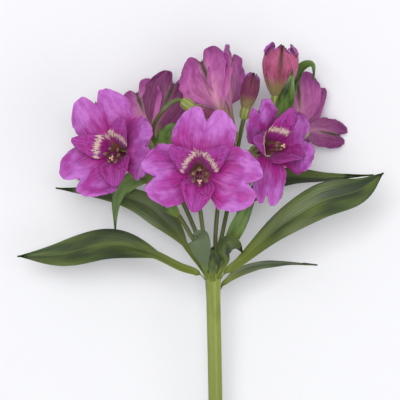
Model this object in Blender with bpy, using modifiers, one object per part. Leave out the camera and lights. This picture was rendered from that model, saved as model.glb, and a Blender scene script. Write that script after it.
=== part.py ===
"""Cut alstroemeria stem with its umbel, lying on its back petals.

The stem runs along Y: its cut end is at -Y, and the umbel is at +Y. +Z is up, and the three
front blooms face it. Lengths below are in millimetres from the whorl, the place on the stem
where the leaves and the flower rays start, but heights are from the surface below. The part
rests on its cut end and on a tepal of each of the two lowest blooms.
"""

import math

import bmesh
import bpy
import numpy as np
from mathutils import Matrix, Vector

MM = 0.001
PART_NAME = "alstroemeria_stem"
WHORL_PLACE = Vector((7.62, 67.6, 0.0))
WHORL_HEIGHT = 45.0
FIT_GAP = 0.3

STEM_LENGTH = 268.0
STEM_RADIUS = 4.1
STEM_TOP_RADIUS = 4.5
STEM_END_HEIGHT = 3.8
STEM_RINGS = 20
STEM_RESOLUTION = 4
STEM_SLOPE = (WHORL_HEIGHT - STEM_END_HEIGHT) / STEM_LENGTH
STEM_TAPER_END = 0.06
STEM_DRIFT = 1.6
STEM_BOW = 1.5

RAY_RADIUS = 1.25
RAY_RING_RADIUS = 3.1
OVARY_LENGTH = 8.5
OVARY_RADIUS = 3.9
OVARY_RIBS = 6
OVARY_RIB_SIZE = 0.06
OVARY_RINGS = 5
OVARY_NECK = 0.42
OVARY_SWELL = 0.56
OVARY_PROFILE = (0.12, 0.74)

BUD_RINGS = 7
BUD_SIDES = 12
BUD_ROOT = 0.30
BUD_TIP_TAPER = 0.40
BUD_TIP_START = 0.85
BUD_PROFILE = (0.02, 0.88)
BUD_FULLNESS = 0.8
BUD_TWIST = 0.35
TEPAL_STEP = 0.12

TEPAL_THICKNESS = 0.7
NOTCH_WIDTH = 0.2
WAVE_RATE = 9.0
WAVE_SLANT = 2.0
WAVE_PHASE_STEP = 1.3
WAVE_SPAN = (0.4, 0.9)
CURL_SPAN = (0.7, 1.2)
BEND_SPAN = (0.22, 0.55)
LEAST_BEND = 1e-6
LEAF_THICKNESS = 0.8
LEAF_ROWS = 10
LEAF_COLUMNS = 4
LEAF_TURN_SPAN = (0.0, 0.32)
LEAF_LEAVING = 0.45
BLADE_POWER = 1.1
BLADE_TIP_HALF_WIDTH = 0.6
BRACT_ROWS = 5
BRACT_COLUMNS = 2
STALK_POINTS = 12
FOOT_CLEARANCE = 0.35
UP_STEM = Vector((0.0, 1.0, 0.0))
LEAF_ROOT_HALF_WIDTH = 1.4
RECEPTACLE_RADIUS = 4.2
RECEPTACLE_HEIGHT = 2.0
RECEPTACLE_TAPER = 0.9
RECEPTACLE_SIDES = 9
ROOT_DEPTH = 1.4
STAMEN_DISC_RADIUS = 1.7
STAMEN_DISC_HEIGHT = 1.2
STAMEN_DISC_SIDES = 8
FILAMENTS = 6
FILAMENT_RADIUS = 0.42
FILAMENT_RING = 1.05
FILAMENT_LENGTH = 27.5
FILAMENT_SPREAD = 4.4
FILAMENT_DROOP = 4.2
FILAMENT_DROOP_POWER = 3.5
FILAMENT_STEP = 2.0
STYLE_DROOP = 6.3
STYLE_EXTRA_LENGTH = 5.0
LEAST_BUNCHING = 0.3
CLOSED_OPENING = -38.0
ANTHER_LENGTH = 3.2
ANTHER_SWELL = 2.5

OUTER_TEPAL = {
    "length": 51.0,
    "half_width": 18.0,
    "base_half_width": 2.9,
    "widen": (0.20, 0.68),
    "base_radius": 3.55,
    "angles": (7.0, 84.0),
    "flare": (0.26, 0.62),
    "curl": 14.0,
    "flare_bend": -0.012,
    "notch": 0.13,
    "corner": 0.20,
    "corner_power": 3.6,
    "tip_start": 0.7,
    "tip_width": 0.94,
    "wave": 1.0,
    "rows": 6,
    "columns": 6,
}
INNER_TEPAL = {
    "length": 47.0,
    "half_width": 7.8,
    "base_half_width": 1.7,
    "widen": (0.28, 0.70),
    "base_radius": 2.65,
    "angles": (6.0, 60.0),
    "flare": (0.34, 0.78),
    "curl": 30.0,
    "flare_bend": 0.03,
    "notch": 0.0,
    "corner": 0.02,
    "corner_power": 2.0,
    "tip_start": 0.50,
    "tip_width": 0.15,
    "wave": 0.5,
    "rows": 5,
    "columns": 4,
}
LOWER_TEPAL_OPENING = -3.0
INNER_WIDTHS = (1.0, 1.0, 1.2)
FULL_WIDTHS = (1.0, 1.0, 1.0)
NO_LEAN = (0.0, 0.0, 0.0)

# The axis points out of a bloom's tube. Angles go round it, from 90 for the side nearest "top".
# "open" adds to how far all tepals lean out, "lean" to each outer one and "inner_lean" to each
# inner one, in degrees. "slim" is the width of each outer tepal, against a full one's.
BLOOMS = {
    "front": {
        "base": (-8.1, 58.4, 72.0), "axis": (0.01, 0.03, 1.0), "top": (0.0, 1.0, 0.0),
        "outer": (82.0, 188.0, 345.0), "inner": (144.0, 39.0, 262.0), "lean": (-4.0, -24.0, -8.0),
        "inner_lean": (-17.0, -19.0, 0.0),
    },
    "left": {
        "base": (-50.3, 68.6, 46.5), "axis": (-0.26, 0.10, 0.94), "top": (-0.42, 0.90, 0.0),
        "outer": (86.0, 203.0, 338.0), "inner": (144.0, 34.0, 262.0), "lean": (-8.0, -30.0, -34.0),
        "inner_lean": (-18.0, -20.0, -4.0),
    },
    "right": {
        "base": (25.5, 71.0, 46.5), "axis": (0.38, 0.12, 0.96), "top": (-0.55, 0.84, 0.0),
        "outer": (98.0, 226.0, 333.0), "inner": (146.0, 44.0, 280.0), "open": -30.0,
        "lean": (-8.0, 28.0, -42.0), "inner_lean": (10.0, 10.0, -10.0), "slim": (0.68, 0.6, 1.0),
    },
    "top": {
        "base": (9.5, 83.0, 57.0), "axis": (-0.24, 0.84, -0.48), "top": (0.0, 0.3, 1.0),
        "outer": (57.0, 163.0, 285.0), "inner": (108.0, 224.0, 346.0), "open": -50.0,
        "lean": (-27.0, -15.0, -26.0),
    },
    "back_left": {
        "base": (-36.0, 75.0, 44.4), "axis": (0.06, 0.42, -0.80), "top": (0.0, 0.7, 0.7),
        "outer": (46.0, 114.0, 250.0), "inner": (170.0, 205.0, 320.0), "open": -42.0,
        "lean": (-12.0, 14.0, -10.0), "inner_lean": (16.0, 0.0, 0.0), "slim": (0.9, 0.8, 0.9),
    },
    "back_right": {
        "base": (51.5, 82.0, 43.8), "axis": (0.02, 0.20, -0.94), "top": (0.0, 1.0, 0.0),
        "outer": (86.0, 200.0, 325.0), "inner": (126.0, 262.0, 30.0), "open": -30.0,
        "lean": (0.0, 0.0, -10.0), "inner_lean": (32.0, 0.0, 0.0), "slim": (0.74, 0.5, 0.74),
    },
}

BUDS = {
    "tall": {"base": (37.5, 103.2, 52.0), "axis": (0.08, 0.99, 0.12), "length": 30.0, "radius": 10.3},
    "dark": {"base": (19.1, 95.7, 38.0), "axis": (0.22, 0.97, -0.05), "length": 22.0, "radius": 5.2,
             "ovary": 0.75},
    "nodding": {"base": (-12.5, 96.0, 60.0), "axis": (0.80, -0.58, 0.05), "length": 19.0, "radius": 5.6,
                "ovary": 0.85},
}
FLOWERS = {**BLOOMS, **BUDS}
BRACT = {"petiole": 1.4, "stalk": 0.05, "widest": 0.8, "roll": (0.0, 0.0), "fold": 0.25}

# Each ray starts at its angle on the stem's top. A stalk ends under the ovary of its flower, and a
# second stalk forks off at a point of the first one. Bracts grow from a point of a stalk.
RAYS = {
    "front": {
        "start": 135.0,
        "stalks": {"front": ((-5.5, 22.0, 49.0), (-8.0, 42.0, 51.0), (-8.4, 53.0, 56.0))},
    },
    "left": {
        "start": 180.0,
        "stalks": {"left": ((-14.5, 25.0, 43.0), (-30.0, 48.0, 37.0), (-42.0, 64.0, 34.0))},
        "bracts": {
            "folded": {
                "route": ((-30.0, 48.0, 37.0), (-39.0, 56.5, 39.5), (-49.0, 53.0, 40.0),
                          (-56.0, 43.0, 39.5), (-57.0, 24.0, 39.0)),
                "half_width": 4.2,
            },
            "short": {
                "route": ((-20.0, 33.5, 42.0), (-26.0, 40.0, 46.0), (-31.0, 44.5, 47.0)),
                "half_width": 2.6,
            },
        },
    },
    "right": {
        "start": 0.0,
        "stalks": {
            "right": ((12.0, 25.0, 45.0), (18.0, 48.0, 38.0), (22.5, 62.0, 33.5)),
            "tall": ((18.0, 48.0, 38.0), (28.5, 66.0, 34.0), (33.5, 78.0, 37.0), (36.0, 88.0, 44.0)),
        },
        "bracts": {
            "narrow": {
                "route": ((6.8, 12.0, 45.4), (12.5, 24.0, 49.5), (19.5, 38.0, 51.5), (27.0, 54.0, 50.0)),
                "half_width": 3.6,
            },
            "in_front": {
                "route": ((36.0, 88.0, 44.0), (40.0, 95.0, 56.0), (43.0, 105.0, 65.0), (45.5, 117.0, 67.0)),
                "half_width": 4.2,
            },
            "hooked": {
                "route": ((36.0, 88.0, 44.0), (44.0, 103.0, 38.0), (50.5, 119.0, 41.0),
                          (57.5, 121.5, 46.0), (58.5, 112.5, 47.0)),
                "half_width": 2.0,
            },
        },
    },
    "top": {
        "start": 60.0,
        "stalks": {"top": ((1.5, 25.0, 47.0), (4.5, 50.0, 51.0), (10.0, 68.0, 59.5))},
    },
    "back_left": {
        "start": 225.0,
        "stalks": {
            "back_left": ((-10.0, 24.0, 38.0), (-20.0, 46.0, 36.0), (-31.0, 62.0, 42.5)),
            "nodding": ((-20.0, 46.0, 36.0), (-24.0, 64.0, 50.0), (-35.0, 80.0, 56.0),
                        (-29.0, 94.0, 61.0)),
        },
        "bracts": {
            "beside": {
                "route": ((-24.0, 64.0, 50.0), (-28.0, 75.0, 58.0), (-24.5, 83.0, 61.0),
                          (-19.5, 87.5, 61.5)),
                "half_width": 4.4,
            },
        },
    },
    "back_right": {
        "start": 315.0,
        "stalks": {"back_right": ((10.0, 24.0, 38.0), (22.0, 47.0, 32.0), (38.0, 63.0, 35.0))},
    },
    "dark": {
        "start": 270.0,
        "stalks": {"dark": ((5.5, 24.0, 40.0), (11.0, 52.0, 37.0), (14.5, 74.0, 36.0))},
    },
}

# A leaf leaves the stem at its angle round it, so far under the top, and follows its route
LEAVES = {
    "long_left": {
        "root": (180.0, 3.5),
        "route": ((-20.0, 4.5, 46.0), (-39.5, 13.5, 47.0), (-62.0, 17.0, 44.0), (-90.0, 11.0, 37.0),
                  (-114.5, 9.9, 31.0)),
        "half_width": 8.4, "petiole": 2.7, "stalk": 0.34, "widest": 0.9, "roll": (40.0, 16.0), "fold": 0.22,
    },
    "wide_right": {
        "root": (8.0, 3.0),
        "route": ((17.0, 8.5, 48.0), (38.9, 27.8, 53.0), (62.0, 42.0, 54.0), (84.0, 48.5, 51.0),
                  (99.0, 58.6, 45.0)),
        "half_width": 9.2, "petiole": 2.6, "stalk": 0.14, "widest": 1.25, "roll": (-30.0, -10.0),
        "fold": 0.20,
    },
    "hidden_left": {
        "root": (218.0, 3.0),
        "route": ((-16.2, 16.8, 34.0), (-29.0, 32.0, 30.0), (-51.0, 44.5, 28.0), (-92.5, 49.9, 24.0)),
        "half_width": 6.6, "petiole": 1.8, "stalk": 0.26, "widest": 0.9, "roll": (10.0, 15.0), "fold": 0.2,
    },
    "hidden_right": {
        "root": (322.0, 3.0),
        "route": ((12.0, 22.0, 30.0), (20.5, 40.0, 26.0), (31.0, 52.5, 24.0), (46.0, 57.0, 26.0),
                  (66.0, 56.5, 31.0), (94.0, 57.5, 34.0)),
        "half_width": 4.6, "petiole": 1.6, "stalk": 0.36, "widest": 0.62, "roll": (-10.0, 10.0),
        "fold": 0.2,
    },
    "thin_right": {
        "root": (345.0, 9.0),
        "route": ((13.0, 0.2, 41.0), (24.0, 5.0, 46.5), (40.0, 6.8, 51.0), (60.3, 5.2, 51.0)),
        "half_width": 4.4, "petiole": 1.6, "stalk": 0.10, "widest": 0.8, "roll": (50.0, 72.0), "fold": 0.3,
    },
    "curled_front": {
        "root": (50.0, 3.0),
        "route": ((7.0, 7.2, 52.0), (5.6, 13.0, 58.2), (8.0, 18.0, 62.8), (13.6, 17.4, 62.2),
                  (17.0, 12.6, 57.6)),
        "half_width": 3.9, "petiole": 1.5, "stalk": 0.18, "widest": 0.95, "roll": (-24.0, -6.0),
        "fold": -0.2,
    },
    "pale_front": {
        "root": (138.0, 3.0),
        "route": ((-5.2, 7.0, 55.0), (-6.8, 13.5, 60.4), (-7.8, 19.6, 62.5), (-8.6, 22.0, 59.5),
                  (-9.0, 21.4, 56.0)),
        "half_width": 5.8, "petiole": 1.6, "stalk": 0.10, "widest": 1.15, "roll": (-16.0, -20.0),
        "fold": 0.2,
    },
    "channelled_front": {
        "root": (92.0, 4.0),
        "route": ((-0.3, 8.0, 51.2), (-0.4, 16.0, 52.4)),
        "half_width": 3.4, "petiole": 1.4, "stalk": 0.12, "widest": 1.1, "roll": (0.0, 0.0), "fold": 0.4,
    },
}

# Colour and roughness
LOOKS = {
    "stem": ((0.33, 0.42, 0.12), 0.5),
    "ray": ((0.20, 0.33, 0.09), 0.5),
    "leaf": ((0.05, 0.14, 0.04), 0.45),
    "tepals": ((0.50, 0.10, 0.45), 0.6),
    "stamens": ((0.75, 0.60, 0.42), 0.6),
    "bud": ((0.36, 0.07, 0.26), 0.55),
}


def smooth_step(value, low, high):
    t = min(max((value - low) / (high - low), 0.0), 1.0)
    return t * t * (3.0 - 2.0 * t)


def mix(a, b, t):
    return a + (b - a) * t


def from_whorl(point):
    """A place given from the whorl, in metres of the part's own frame."""
    return (WHORL_PLACE + Vector(point)) * MM


def smooth_route(points, count, first=None, last=None):
    """Evenly numbered points on a smooth curve through the given ones.

    The curve can be told the direction in which it leaves the first point or reaches the last.
    """
    knots = [np.array(p, float) for p in points]
    before = 2 * knots[0] - knots[1]
    after = 2 * knots[-1] - knots[-2]
    if first:
        before = knots[1] - 2 * np.array(first) * np.linalg.norm(knots[1] - knots[0])
    if last:
        after = knots[-2] + 2 * np.array(last) * np.linalg.norm(knots[-1] - knots[-2])
    knots = [before, *knots, after]
    spans = len(knots) - 3
    places = []
    for i in range(count):
        s = spans * i / (count - 1)
        k = min(int(s), spans - 1)
        t = s - k
        a, b, c, d = knots[k : k + 4]
        place = 0.5 * (2 * b + (c - a) * t + (2 * a - 5 * b + 4 * c - d) * t * t)
        places.append(Vector(place + 0.5 * (3 * b - a - 3 * c + d) * t * t * t))
    return places


def new_object(name, mesh, collection, material=None):
    piece = bpy.data.objects.new(name, mesh)
    collection.objects.link(piece)
    if material:
        mesh.materials.clear()
        mesh.materials.append(material)
    return piece


def new_material(name, colour, roughness):
    material = bpy.data.materials.new(name)
    material.use_nodes = True
    shader = material.node_tree.nodes["Principled BSDF"]
    shader.inputs["Base Color"].default_value = (*colour, 1.0)
    shader.inputs["Roughness"].default_value = roughness
    shader.inputs["Metallic"].default_value = 0.0
    return material


def evaluated_mesh(piece):
    """The mesh of a piece with its modifiers or bevel applied. The piece is removed."""
    bpy.context.view_layer.update()
    graph = bpy.context.evaluated_depsgraph_get()
    mesh = bpy.data.meshes.new_from_object(piece.evaluated_get(graph), depsgraph=graph)
    mesh.transform(piece.matrix_world)
    bpy.data.objects.remove(piece)
    return mesh


def tube_mesh(points, radii, resolution):
    """A round tube through the points, in metres, with welded caps."""
    curve = bpy.data.curves.new("tube", "CURVE")
    curve.dimensions = "3D"
    curve.bevel_depth = 1.0
    curve.bevel_resolution = resolution
    curve.use_fill_caps = True
    spline = curve.splines.new("POLY")
    spline.points.add(len(points) - 1)
    for slot, point, radius in zip(spline.points, points, radii):
        slot.co = (*point, 1.0)
        slot.radius = radius
    tube = bpy.data.objects.new("tube", curve)
    bpy.context.scene.collection.objects.link(tube)
    mesh = evaluated_mesh(tube)
    welded = bmesh.new()
    welded.from_mesh(mesh)
    bmesh.ops.remove_doubles(welded, verts=welded.verts, dist=0.00001)
    bmesh.ops.recalc_face_normals(welded, faces=welded.faces)
    welded.to_mesh(mesh)
    welded.free()
    return mesh


def loft_mesh(rings):
    """A closed solid through rings of equally many points, with flat ends."""
    shape = bmesh.new()
    rows = [[shape.verts.new(point) for point in ring] for ring in rings]
    count = len(rings[0])
    for low, high in zip(rows, rows[1:]):
        for i in range(count):
            j = (i + 1) % count
            shape.faces.new((low[i], low[j], high[j], high[i]))
    shape.faces.new(list(reversed(rows[0])))
    shape.faces.new(rows[-1])
    bmesh.ops.triangulate(shape, faces=shape.faces)
    bmesh.ops.recalc_face_normals(shape, faces=shape.faces)
    mesh = bpy.data.meshes.new("loft")
    shape.to_mesh(mesh)
    shape.free()
    return mesh


def sheet_mesh(grid, thickness):
    """A thin blade from a grid of points. Both faces are split into triangles alike."""
    shape = bmesh.new()
    rows = [[shape.verts.new(point) for point in row] for row in grid]
    for low, high in zip(rows, rows[1:]):
        for i in range(len(low) - 1):
            shape.faces.new((low[i], low[i + 1], high[i + 1], high[i]))
    bmesh.ops.triangulate(shape, faces=shape.faces)
    mesh = bpy.data.meshes.new("sheet")
    shape.to_mesh(mesh)
    shape.free()
    sheet = bpy.data.objects.new("sheet", mesh)
    bpy.context.scene.collection.objects.link(sheet)
    solid = sheet.modifiers.new("thickness", "SOLIDIFY")
    solid.thickness = thickness
    solid.offset = 0.0
    return evaluated_mesh(sheet)


def keep_largest_body(mesh):
    """Drops loose scraps and the walls of sealed pockets, so that one body is left."""
    shape = bmesh.new()
    shape.from_mesh(mesh)
    bmesh.ops.remove_doubles(shape, verts=shape.verts, dist=0.000001)
    bmesh.ops.triangulate(shape, faces=shape.faces)
    unseen = set(shape.verts)
    bodies = []
    while unseen:
        edge = [unseen.pop()]
        body = set(edge)
        while edge:
            for link in edge.pop().link_edges:
                for vert in link.verts:
                    if vert in unseen:
                        unseen.remove(vert)
                        body.add(vert)
                        edge.append(vert)
        bodies.append(body)
    bodies.sort(key=len)
    for body in bodies[:-1]:
        bmesh.ops.delete(shape, geom=list(body), context="VERTS")
    shape.to_mesh(mesh)
    shape.free()
    return mesh


def fused_mesh(meshes):
    """One body from pieces that run into the first one."""
    group = bpy.data.collections.new("fused_pieces")
    bpy.context.scene.collection.children.link(group)
    for mesh in meshes[1:]:
        new_object("piece", mesh, group)
    base = bpy.data.objects.new("base", meshes[0])
    bpy.context.scene.collection.objects.link(base)
    join = base.modifiers.new("join", "BOOLEAN")
    join.operation = "UNION"
    join.operand_type = "COLLECTION"
    join.collection = group
    join.solver = "MANIFOLD"
    mesh = evaluated_mesh(base)
    for piece in list(group.objects):
        bpy.data.objects.remove(piece)
    bpy.data.collections.remove(group)
    return keep_largest_body(mesh)


def cut_flat_below(mesh, height):
    """Cuts away what lies under the height, and closes the cut with a flat face."""
    shape = bmesh.new()
    shape.from_mesh(mesh)
    geometry = list(shape.verts) + list(shape.edges) + list(shape.faces)
    cut = bmesh.ops.bisect_plane(
        shape, geom=geometry, plane_co=(0, 0, height), plane_no=(0, 0, -1), clear_outer=True
    )
    edges = [item for item in cut["geom_cut"] if isinstance(item, bmesh.types.BMEdge)]
    bmesh.ops.holes_fill(shape, edges=edges, sides=0)
    bmesh.ops.recalc_face_normals(shape, faces=shape.faces)
    shape.to_mesh(mesh)
    shape.free()


def bloom_matrix(bloom):
    """From a bloom's own frame, in millimetres, to the part's frame. Its Z runs up its tube."""
    along = Vector(bloom["axis"]).normalized()
    top = Vector(bloom.get("top", (0.0, 0.3, 1.0)))
    up = (top - along * top.dot(along)).normalized()
    right = up.cross(along)
    turn = Matrix((right, up, along)).transposed().to_4x4()
    return Matrix.Translation(from_whorl(bloom["base"])) @ turn @ Matrix.Scale(MM, 4)


def tepal_midline(shape, opening, steps=64):
    """Radius, height and lean of the midline at equal steps from root to tip."""
    low, high = shape["angles"]
    radius = shape["base_radius"]
    height = RECEPTACLE_HEIGHT - ROOT_DEPTH
    line = []
    for i in range(steps + 1):
        u = i / steps
        lean = mix(low, high + opening, smooth_step(u, *shape["flare"]))
        lean = math.radians(lean + shape["curl"] * smooth_step(u, *CURL_SPAN))
        line.append((radius, height, lean))
        radius += shape["length"] / steps * math.sin(lean)
        height += shape["length"] / steps * math.cos(lean)
    return line


def tepal_half_width(shape, u, slim):
    spread = smooth_step(u, *shape["widen"])
    tip = max(0.0, (u - shape["tip_start"]) / (1.0 - shape["tip_start"]))
    narrowing = 1.0 - (1.0 - shape["tip_width"]) * tip * tip
    return mix(shape["base_half_width"], shape["half_width"] * slim, spread) * narrowing


def tepal_tip(shape, v):
    """How far the tip's edge reaches at each place across: a notch between round corners."""
    notch = shape["notch"] * math.exp(-((v / NOTCH_WIDTH) ** 2))
    return 1.0 - notch - shape["corner"] * abs(v) ** shape["corner_power"]


def tepal_grid(shape, azimuth, opening, phase, slim):
    """Points over one tepal, root to tip and side to side, in its bloom's frame."""
    line = tepal_midline(shape, opening)
    turn = math.radians(azimuth)
    outward = Vector((math.cos(turn), math.sin(turn), 0.0))
    sideways = Vector((-math.sin(turn), math.cos(turn), 0.0))
    grid = []
    for i in range(shape["rows"] + 1):
        u = i / shape["rows"]
        row = []
        for j in range(shape["columns"] + 1):
            v = 2.0 * j / shape["columns"] - 1.0
            reach = u * (1.0 - (1.0 - tepal_tip(shape, v)) * u * u)
            step = reach * (len(line) - 1)
            k = min(int(step), len(line) - 2)
            radius, height, lean = (mix(a, b, step - k) for a, b in zip(line[k], line[k + 1]))
            side = v * tepal_half_width(shape, u, slim)
            bend = mix(1.0 / radius, shape["flare_bend"], smooth_step(u, *BEND_SPAN))
            if abs(bend) < LEAST_BEND:
                bend = LEAST_BEND
            across = math.sin(side * bend) / bend
            lift = (1.0 - math.cos(side * bend)) / bend
            wave = math.sin(WAVE_RATE * u + phase + WAVE_SLANT * v) * v * v
            lift += shape["wave"] * wave * smooth_step(u, *WAVE_SPAN)
            inward = Vector((0, 0, math.sin(lean))) - outward * math.cos(lean)
            row.append(outward * radius + Vector((0, 0, height)) + sideways * across + inward * lift)
        grid.append(row)
    return grid


def disc_mesh(low_radius, high_radius, low, height, sides):
    """A short round block on the bloom's axis, from its low end up."""
    shape = bmesh.new()
    bmesh.ops.create_cone(
        shape, cap_ends=True, segments=sides, radius1=low_radius, radius2=high_radius, depth=height
    )
    bmesh.ops.translate(shape, verts=shape.verts, vec=(0, 0, low + height / 2))
    mesh = bpy.data.meshes.new("disc")
    shape.to_mesh(mesh)
    shape.free()
    return mesh


def tepals_mesh(bloom):
    """Six tepals on a small receptacle: three wide notched outer ones, three narrow inner ones."""
    low_radius = RECEPTACLE_TAPER * RECEPTACLE_RADIUS
    pieces = [disc_mesh(low_radius, RECEPTACLE_RADIUS, 0.0, RECEPTACLE_HEIGHT, RECEPTACLE_SIDES)]
    opening = bloom.get("open", 0.0)
    for kind, azimuths, leans, widths in (
        (OUTER_TEPAL, bloom["outer"], bloom.get("lean", NO_LEAN), bloom.get("slim", FULL_WIDTHS)),
        (INNER_TEPAL, bloom["inner"], bloom.get("inner_lean", NO_LEAN), INNER_WIDTHS),
    ):
        for number, azimuth in enumerate(azimuths):
            is_lower = kind is INNER_TEPAL and number == 2
            lean = opening + leans[number] + (LOWER_TEPAL_OPENING if is_lower else 0.0)
            phase = WAVE_PHASE_STEP * number + azimuth
            grid = tepal_grid(kind, azimuth, lean, phase, widths[number])
            pieces.append(sheet_mesh(grid, TEPAL_THICKNESS))
    mesh = fused_mesh(pieces)
    mesh.transform(bloom_matrix(bloom))
    return mesh


def stamen_mesh(root, tip):
    """A thin filament that droops towards its tip, where its anther or stigma swells."""
    length = (tip - root).z
    stops = [0.0, 0.35, 0.7, 1.0 - ANTHER_LENGTH / length, 1.0 - 0.5 * ANTHER_LENGTH / length, 1.0]
    widths = [1.0, 1.0, 1.0, 1.0, ANTHER_SWELL, 1.0]
    points = []
    for t in stops:
        off = Vector((tip.x - root.x, tip.y - root.y, 0.0)) * t ** FILAMENT_DROOP_POWER
        points.append(root + off + Vector((0, 0, length * t)))
    return tube_mesh(points, [FILAMENT_RADIUS * width for width in widths], 0)


def stamens_mesh(bloom):
    """Six filaments with anthers and one style, which lean to the bloom's lower side."""
    foot = RECEPTACLE_HEIGHT + FIT_GAP
    pieces = [disc_mesh(STAMEN_DISC_RADIUS, STAMEN_DISC_RADIUS, foot, STAMEN_DISC_HEIGHT,
                        STAMEN_DISC_SIDES)]
    spreading = max(LEAST_BUNCHING, 1.0 - bloom.get("open", 0.0) / CLOSED_OPENING)
    root = Vector((0.0, 0.0, foot + 0.4 * STAMEN_DISC_HEIGHT))
    for number in range(FILAMENTS):
        turn = 2.0 * math.pi * (number + 0.5) / FILAMENTS
        around = Vector((math.cos(turn), math.sin(turn), 0.0))
        length = FILAMENT_LENGTH + FILAMENT_STEP * (number % 3)
        tip = root + around * mix(FILAMENT_RING, FILAMENT_SPREAD, spreading)
        tip += Vector((0.0, -FILAMENT_DROOP * spreading, length))
        pieces.append(stamen_mesh(root + around * FILAMENT_RING, tip))
    style = Vector((0.0, -STYLE_DROOP * spreading, FILAMENT_LENGTH + STYLE_EXTRA_LENGTH))
    pieces.append(stamen_mesh(root, root + style))
    mesh = fused_mesh(pieces)
    mesh.transform(bloom_matrix(bloom))
    return mesh


def bud_mesh(bud):
    """A closed bud: three tepals wrapped over each other, as steps in an egg shape."""
    rings = []
    for i in range(BUD_RINGS + 1):
        t = i / BUD_RINGS
        swell = math.sin(math.pi * mix(*BUD_PROFILE, t)) ** BUD_FULLNESS
        width = bud["radius"] * mix(BUD_ROOT, 1.0, swell)
        width *= 1.0 - BUD_TIP_TAPER * max(0.0, (t - BUD_TIP_START) / (1.0 - BUD_TIP_START))
        ring = []
        for j in range(BUD_SIDES):
            turn = 2.0 * math.pi * j / BUD_SIDES
            wrap = (3.0 * j / BUD_SIDES + BUD_TWIST * t) % 1.0
            size = width * (1.0 - TEPAL_STEP * wrap ** 3)
            ring.append(Vector((size * math.cos(turn), size * math.sin(turn), t * bud["length"])))
        rings.append(ring)
    mesh = loft_mesh(rings)
    mesh.transform(bloom_matrix(bud))
    return mesh


def ovary_mesh(flower):
    """The ribbed ovary under a bloom or bud."""
    rings = []
    scale = flower.get("ovary", 1.0)
    for i in range(OVARY_RINGS + 1):
        t = i / OVARY_RINGS
        swell = math.sin(math.pi * mix(*OVARY_PROFILE, t))
        width = OVARY_RADIUS * scale * (OVARY_NECK + OVARY_SWELL * swell)
        ring = []
        for j in range(2 * OVARY_RIBS):
            turn = math.pi * j / OVARY_RIBS
            size = width * (1.0 + OVARY_RIB_SIZE * (-1.0) ** j)
            height = -FIT_GAP - OVARY_LENGTH * scale * (1.0 - t)
            ring.append(Vector((size * math.cos(turn), size * math.sin(turn), height)))
        rings.append(ring)
    mesh = loft_mesh(rings)
    mesh.transform(bloom_matrix(flower))
    return mesh


def stem_across(angle):
    """A direction square to the stem: 0 points right and 90 points up."""
    turn = math.radians(angle)
    return Vector((math.cos(turn), 0.0, math.sin(turn)))


def stalk_mesh(flower, foot, route):
    """The stalk through the route to the flower's ovary, from the stem's top if it has a foot."""
    along = Vector(flower["axis"]).normalized()
    end = Vector(flower["base"]) - along * (OVARY_LENGTH * flower.get("ovary", 1.0) - 0.8)
    if foot:
        points = smooth_route([foot, *route, end], STALK_POINTS, UP_STEM, along)
    else:
        points = smooth_route([*route, end], STALK_POINTS, None, along)
    return tube_mesh([from_whorl(p) for p in points], [RAY_RADIUS * MM] * len(points), 1)


def ray_mesh(ray):
    """A ray from the stem's top with its forks, the ovaries that it ends in, and its bracts."""
    foot = stem_across(ray["start"]) * RAY_RING_RADIUS + Vector((0, FIT_GAP, WHORL_HEIGHT))
    foot.y += STEM_SLOPE * (WHORL_HEIGHT - foot.z) + FOOT_CLEARANCE
    pieces = []
    for name, route in ray["stalks"].items():
        flower = FLOWERS[name]
        pieces.append(stalk_mesh(flower, None if pieces else foot, route))
        pieces.append(ovary_mesh(flower))
    for bract in ray.get("bracts", {}).values():
        shape = {**BRACT, **bract}
        route = [from_whorl(p) for p in smooth_route(shape["route"], BRACT_ROWS + 1)]
        pieces.append(blade_mesh(shape, route, BRACT_COLUMNS))
    return fused_mesh(pieces)


def blade_half_width(shape, u):
    """Half the width of the flat stalk up to its end, and then of the lance-shaped blade."""
    stalk = mix(LEAF_ROOT_HALF_WIDTH, shape["petiole"], smooth_step(u, *LEAF_TURN_SPAN))
    t = (u - shape["stalk"]) / (1.0 - shape["stalk"])
    if t <= 0.0:
        return stalk
    swell = shape["half_width"] * math.sin(math.pi * t ** shape["widest"]) ** BLADE_POWER
    return max(BLADE_TIP_HALF_WIDTH, stalk * (1.0 - t) + swell)


def blade_mesh(shape, route, columns, root_face=None):
    """A lance-shaped blade on a narrow stalk, folded a little along its midrib."""
    rows = len(route) - 1
    grid = []
    for i, place in enumerate(route):
        u = i / rows
        tangent = (route[min(i + 1, rows)] - route[max(i - 1, 0)]).normalized()
        face = (Vector((0, 0, 1)) - tangent * tangent.z).normalized()
        face = Matrix.Rotation(math.radians(mix(*shape["roll"], u)), 3, tangent) @ face
        if root_face:
            face = root_face.lerp(face, smooth_step(u, *LEAF_TURN_SPAN))
            face = (face - tangent * face.dot(tangent)).normalized()
        across = tangent.cross(face)
        half = blade_half_width(shape, u) * MM
        row = []
        for j in range(columns + 1):
            v = 2.0 * j / columns - 1.0
            row.append(place + across * v * half + face * abs(v) * half * shape["fold"])
        grid.append(row)
    return sheet_mesh(grid, LEAF_THICKNESS * MM)


def leaf_mesh(leaf):
    """A leaf that lies along the stem at its root and then bends away on its route."""
    angle, drop = leaf["root"]
    outward = stem_across(angle)
    root = outward * (STEM_TOP_RADIUS + FIT_GAP + 0.6 * LEAF_THICKNESS)
    root += Vector((0.0, -drop, WHORL_HEIGHT - STEM_SLOPE * drop))
    leaving = (UP_STEM + outward * LEAF_LEAVING).normalized()
    places = smooth_route([root, *leaf["route"]], LEAF_ROWS + 1, leaving)
    route = [from_whorl(p) for p in places]
    root_face = outward if outward.z > -0.2 else -outward
    return blade_mesh(leaf, route, LEAF_COLUMNS, root_face)


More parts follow.
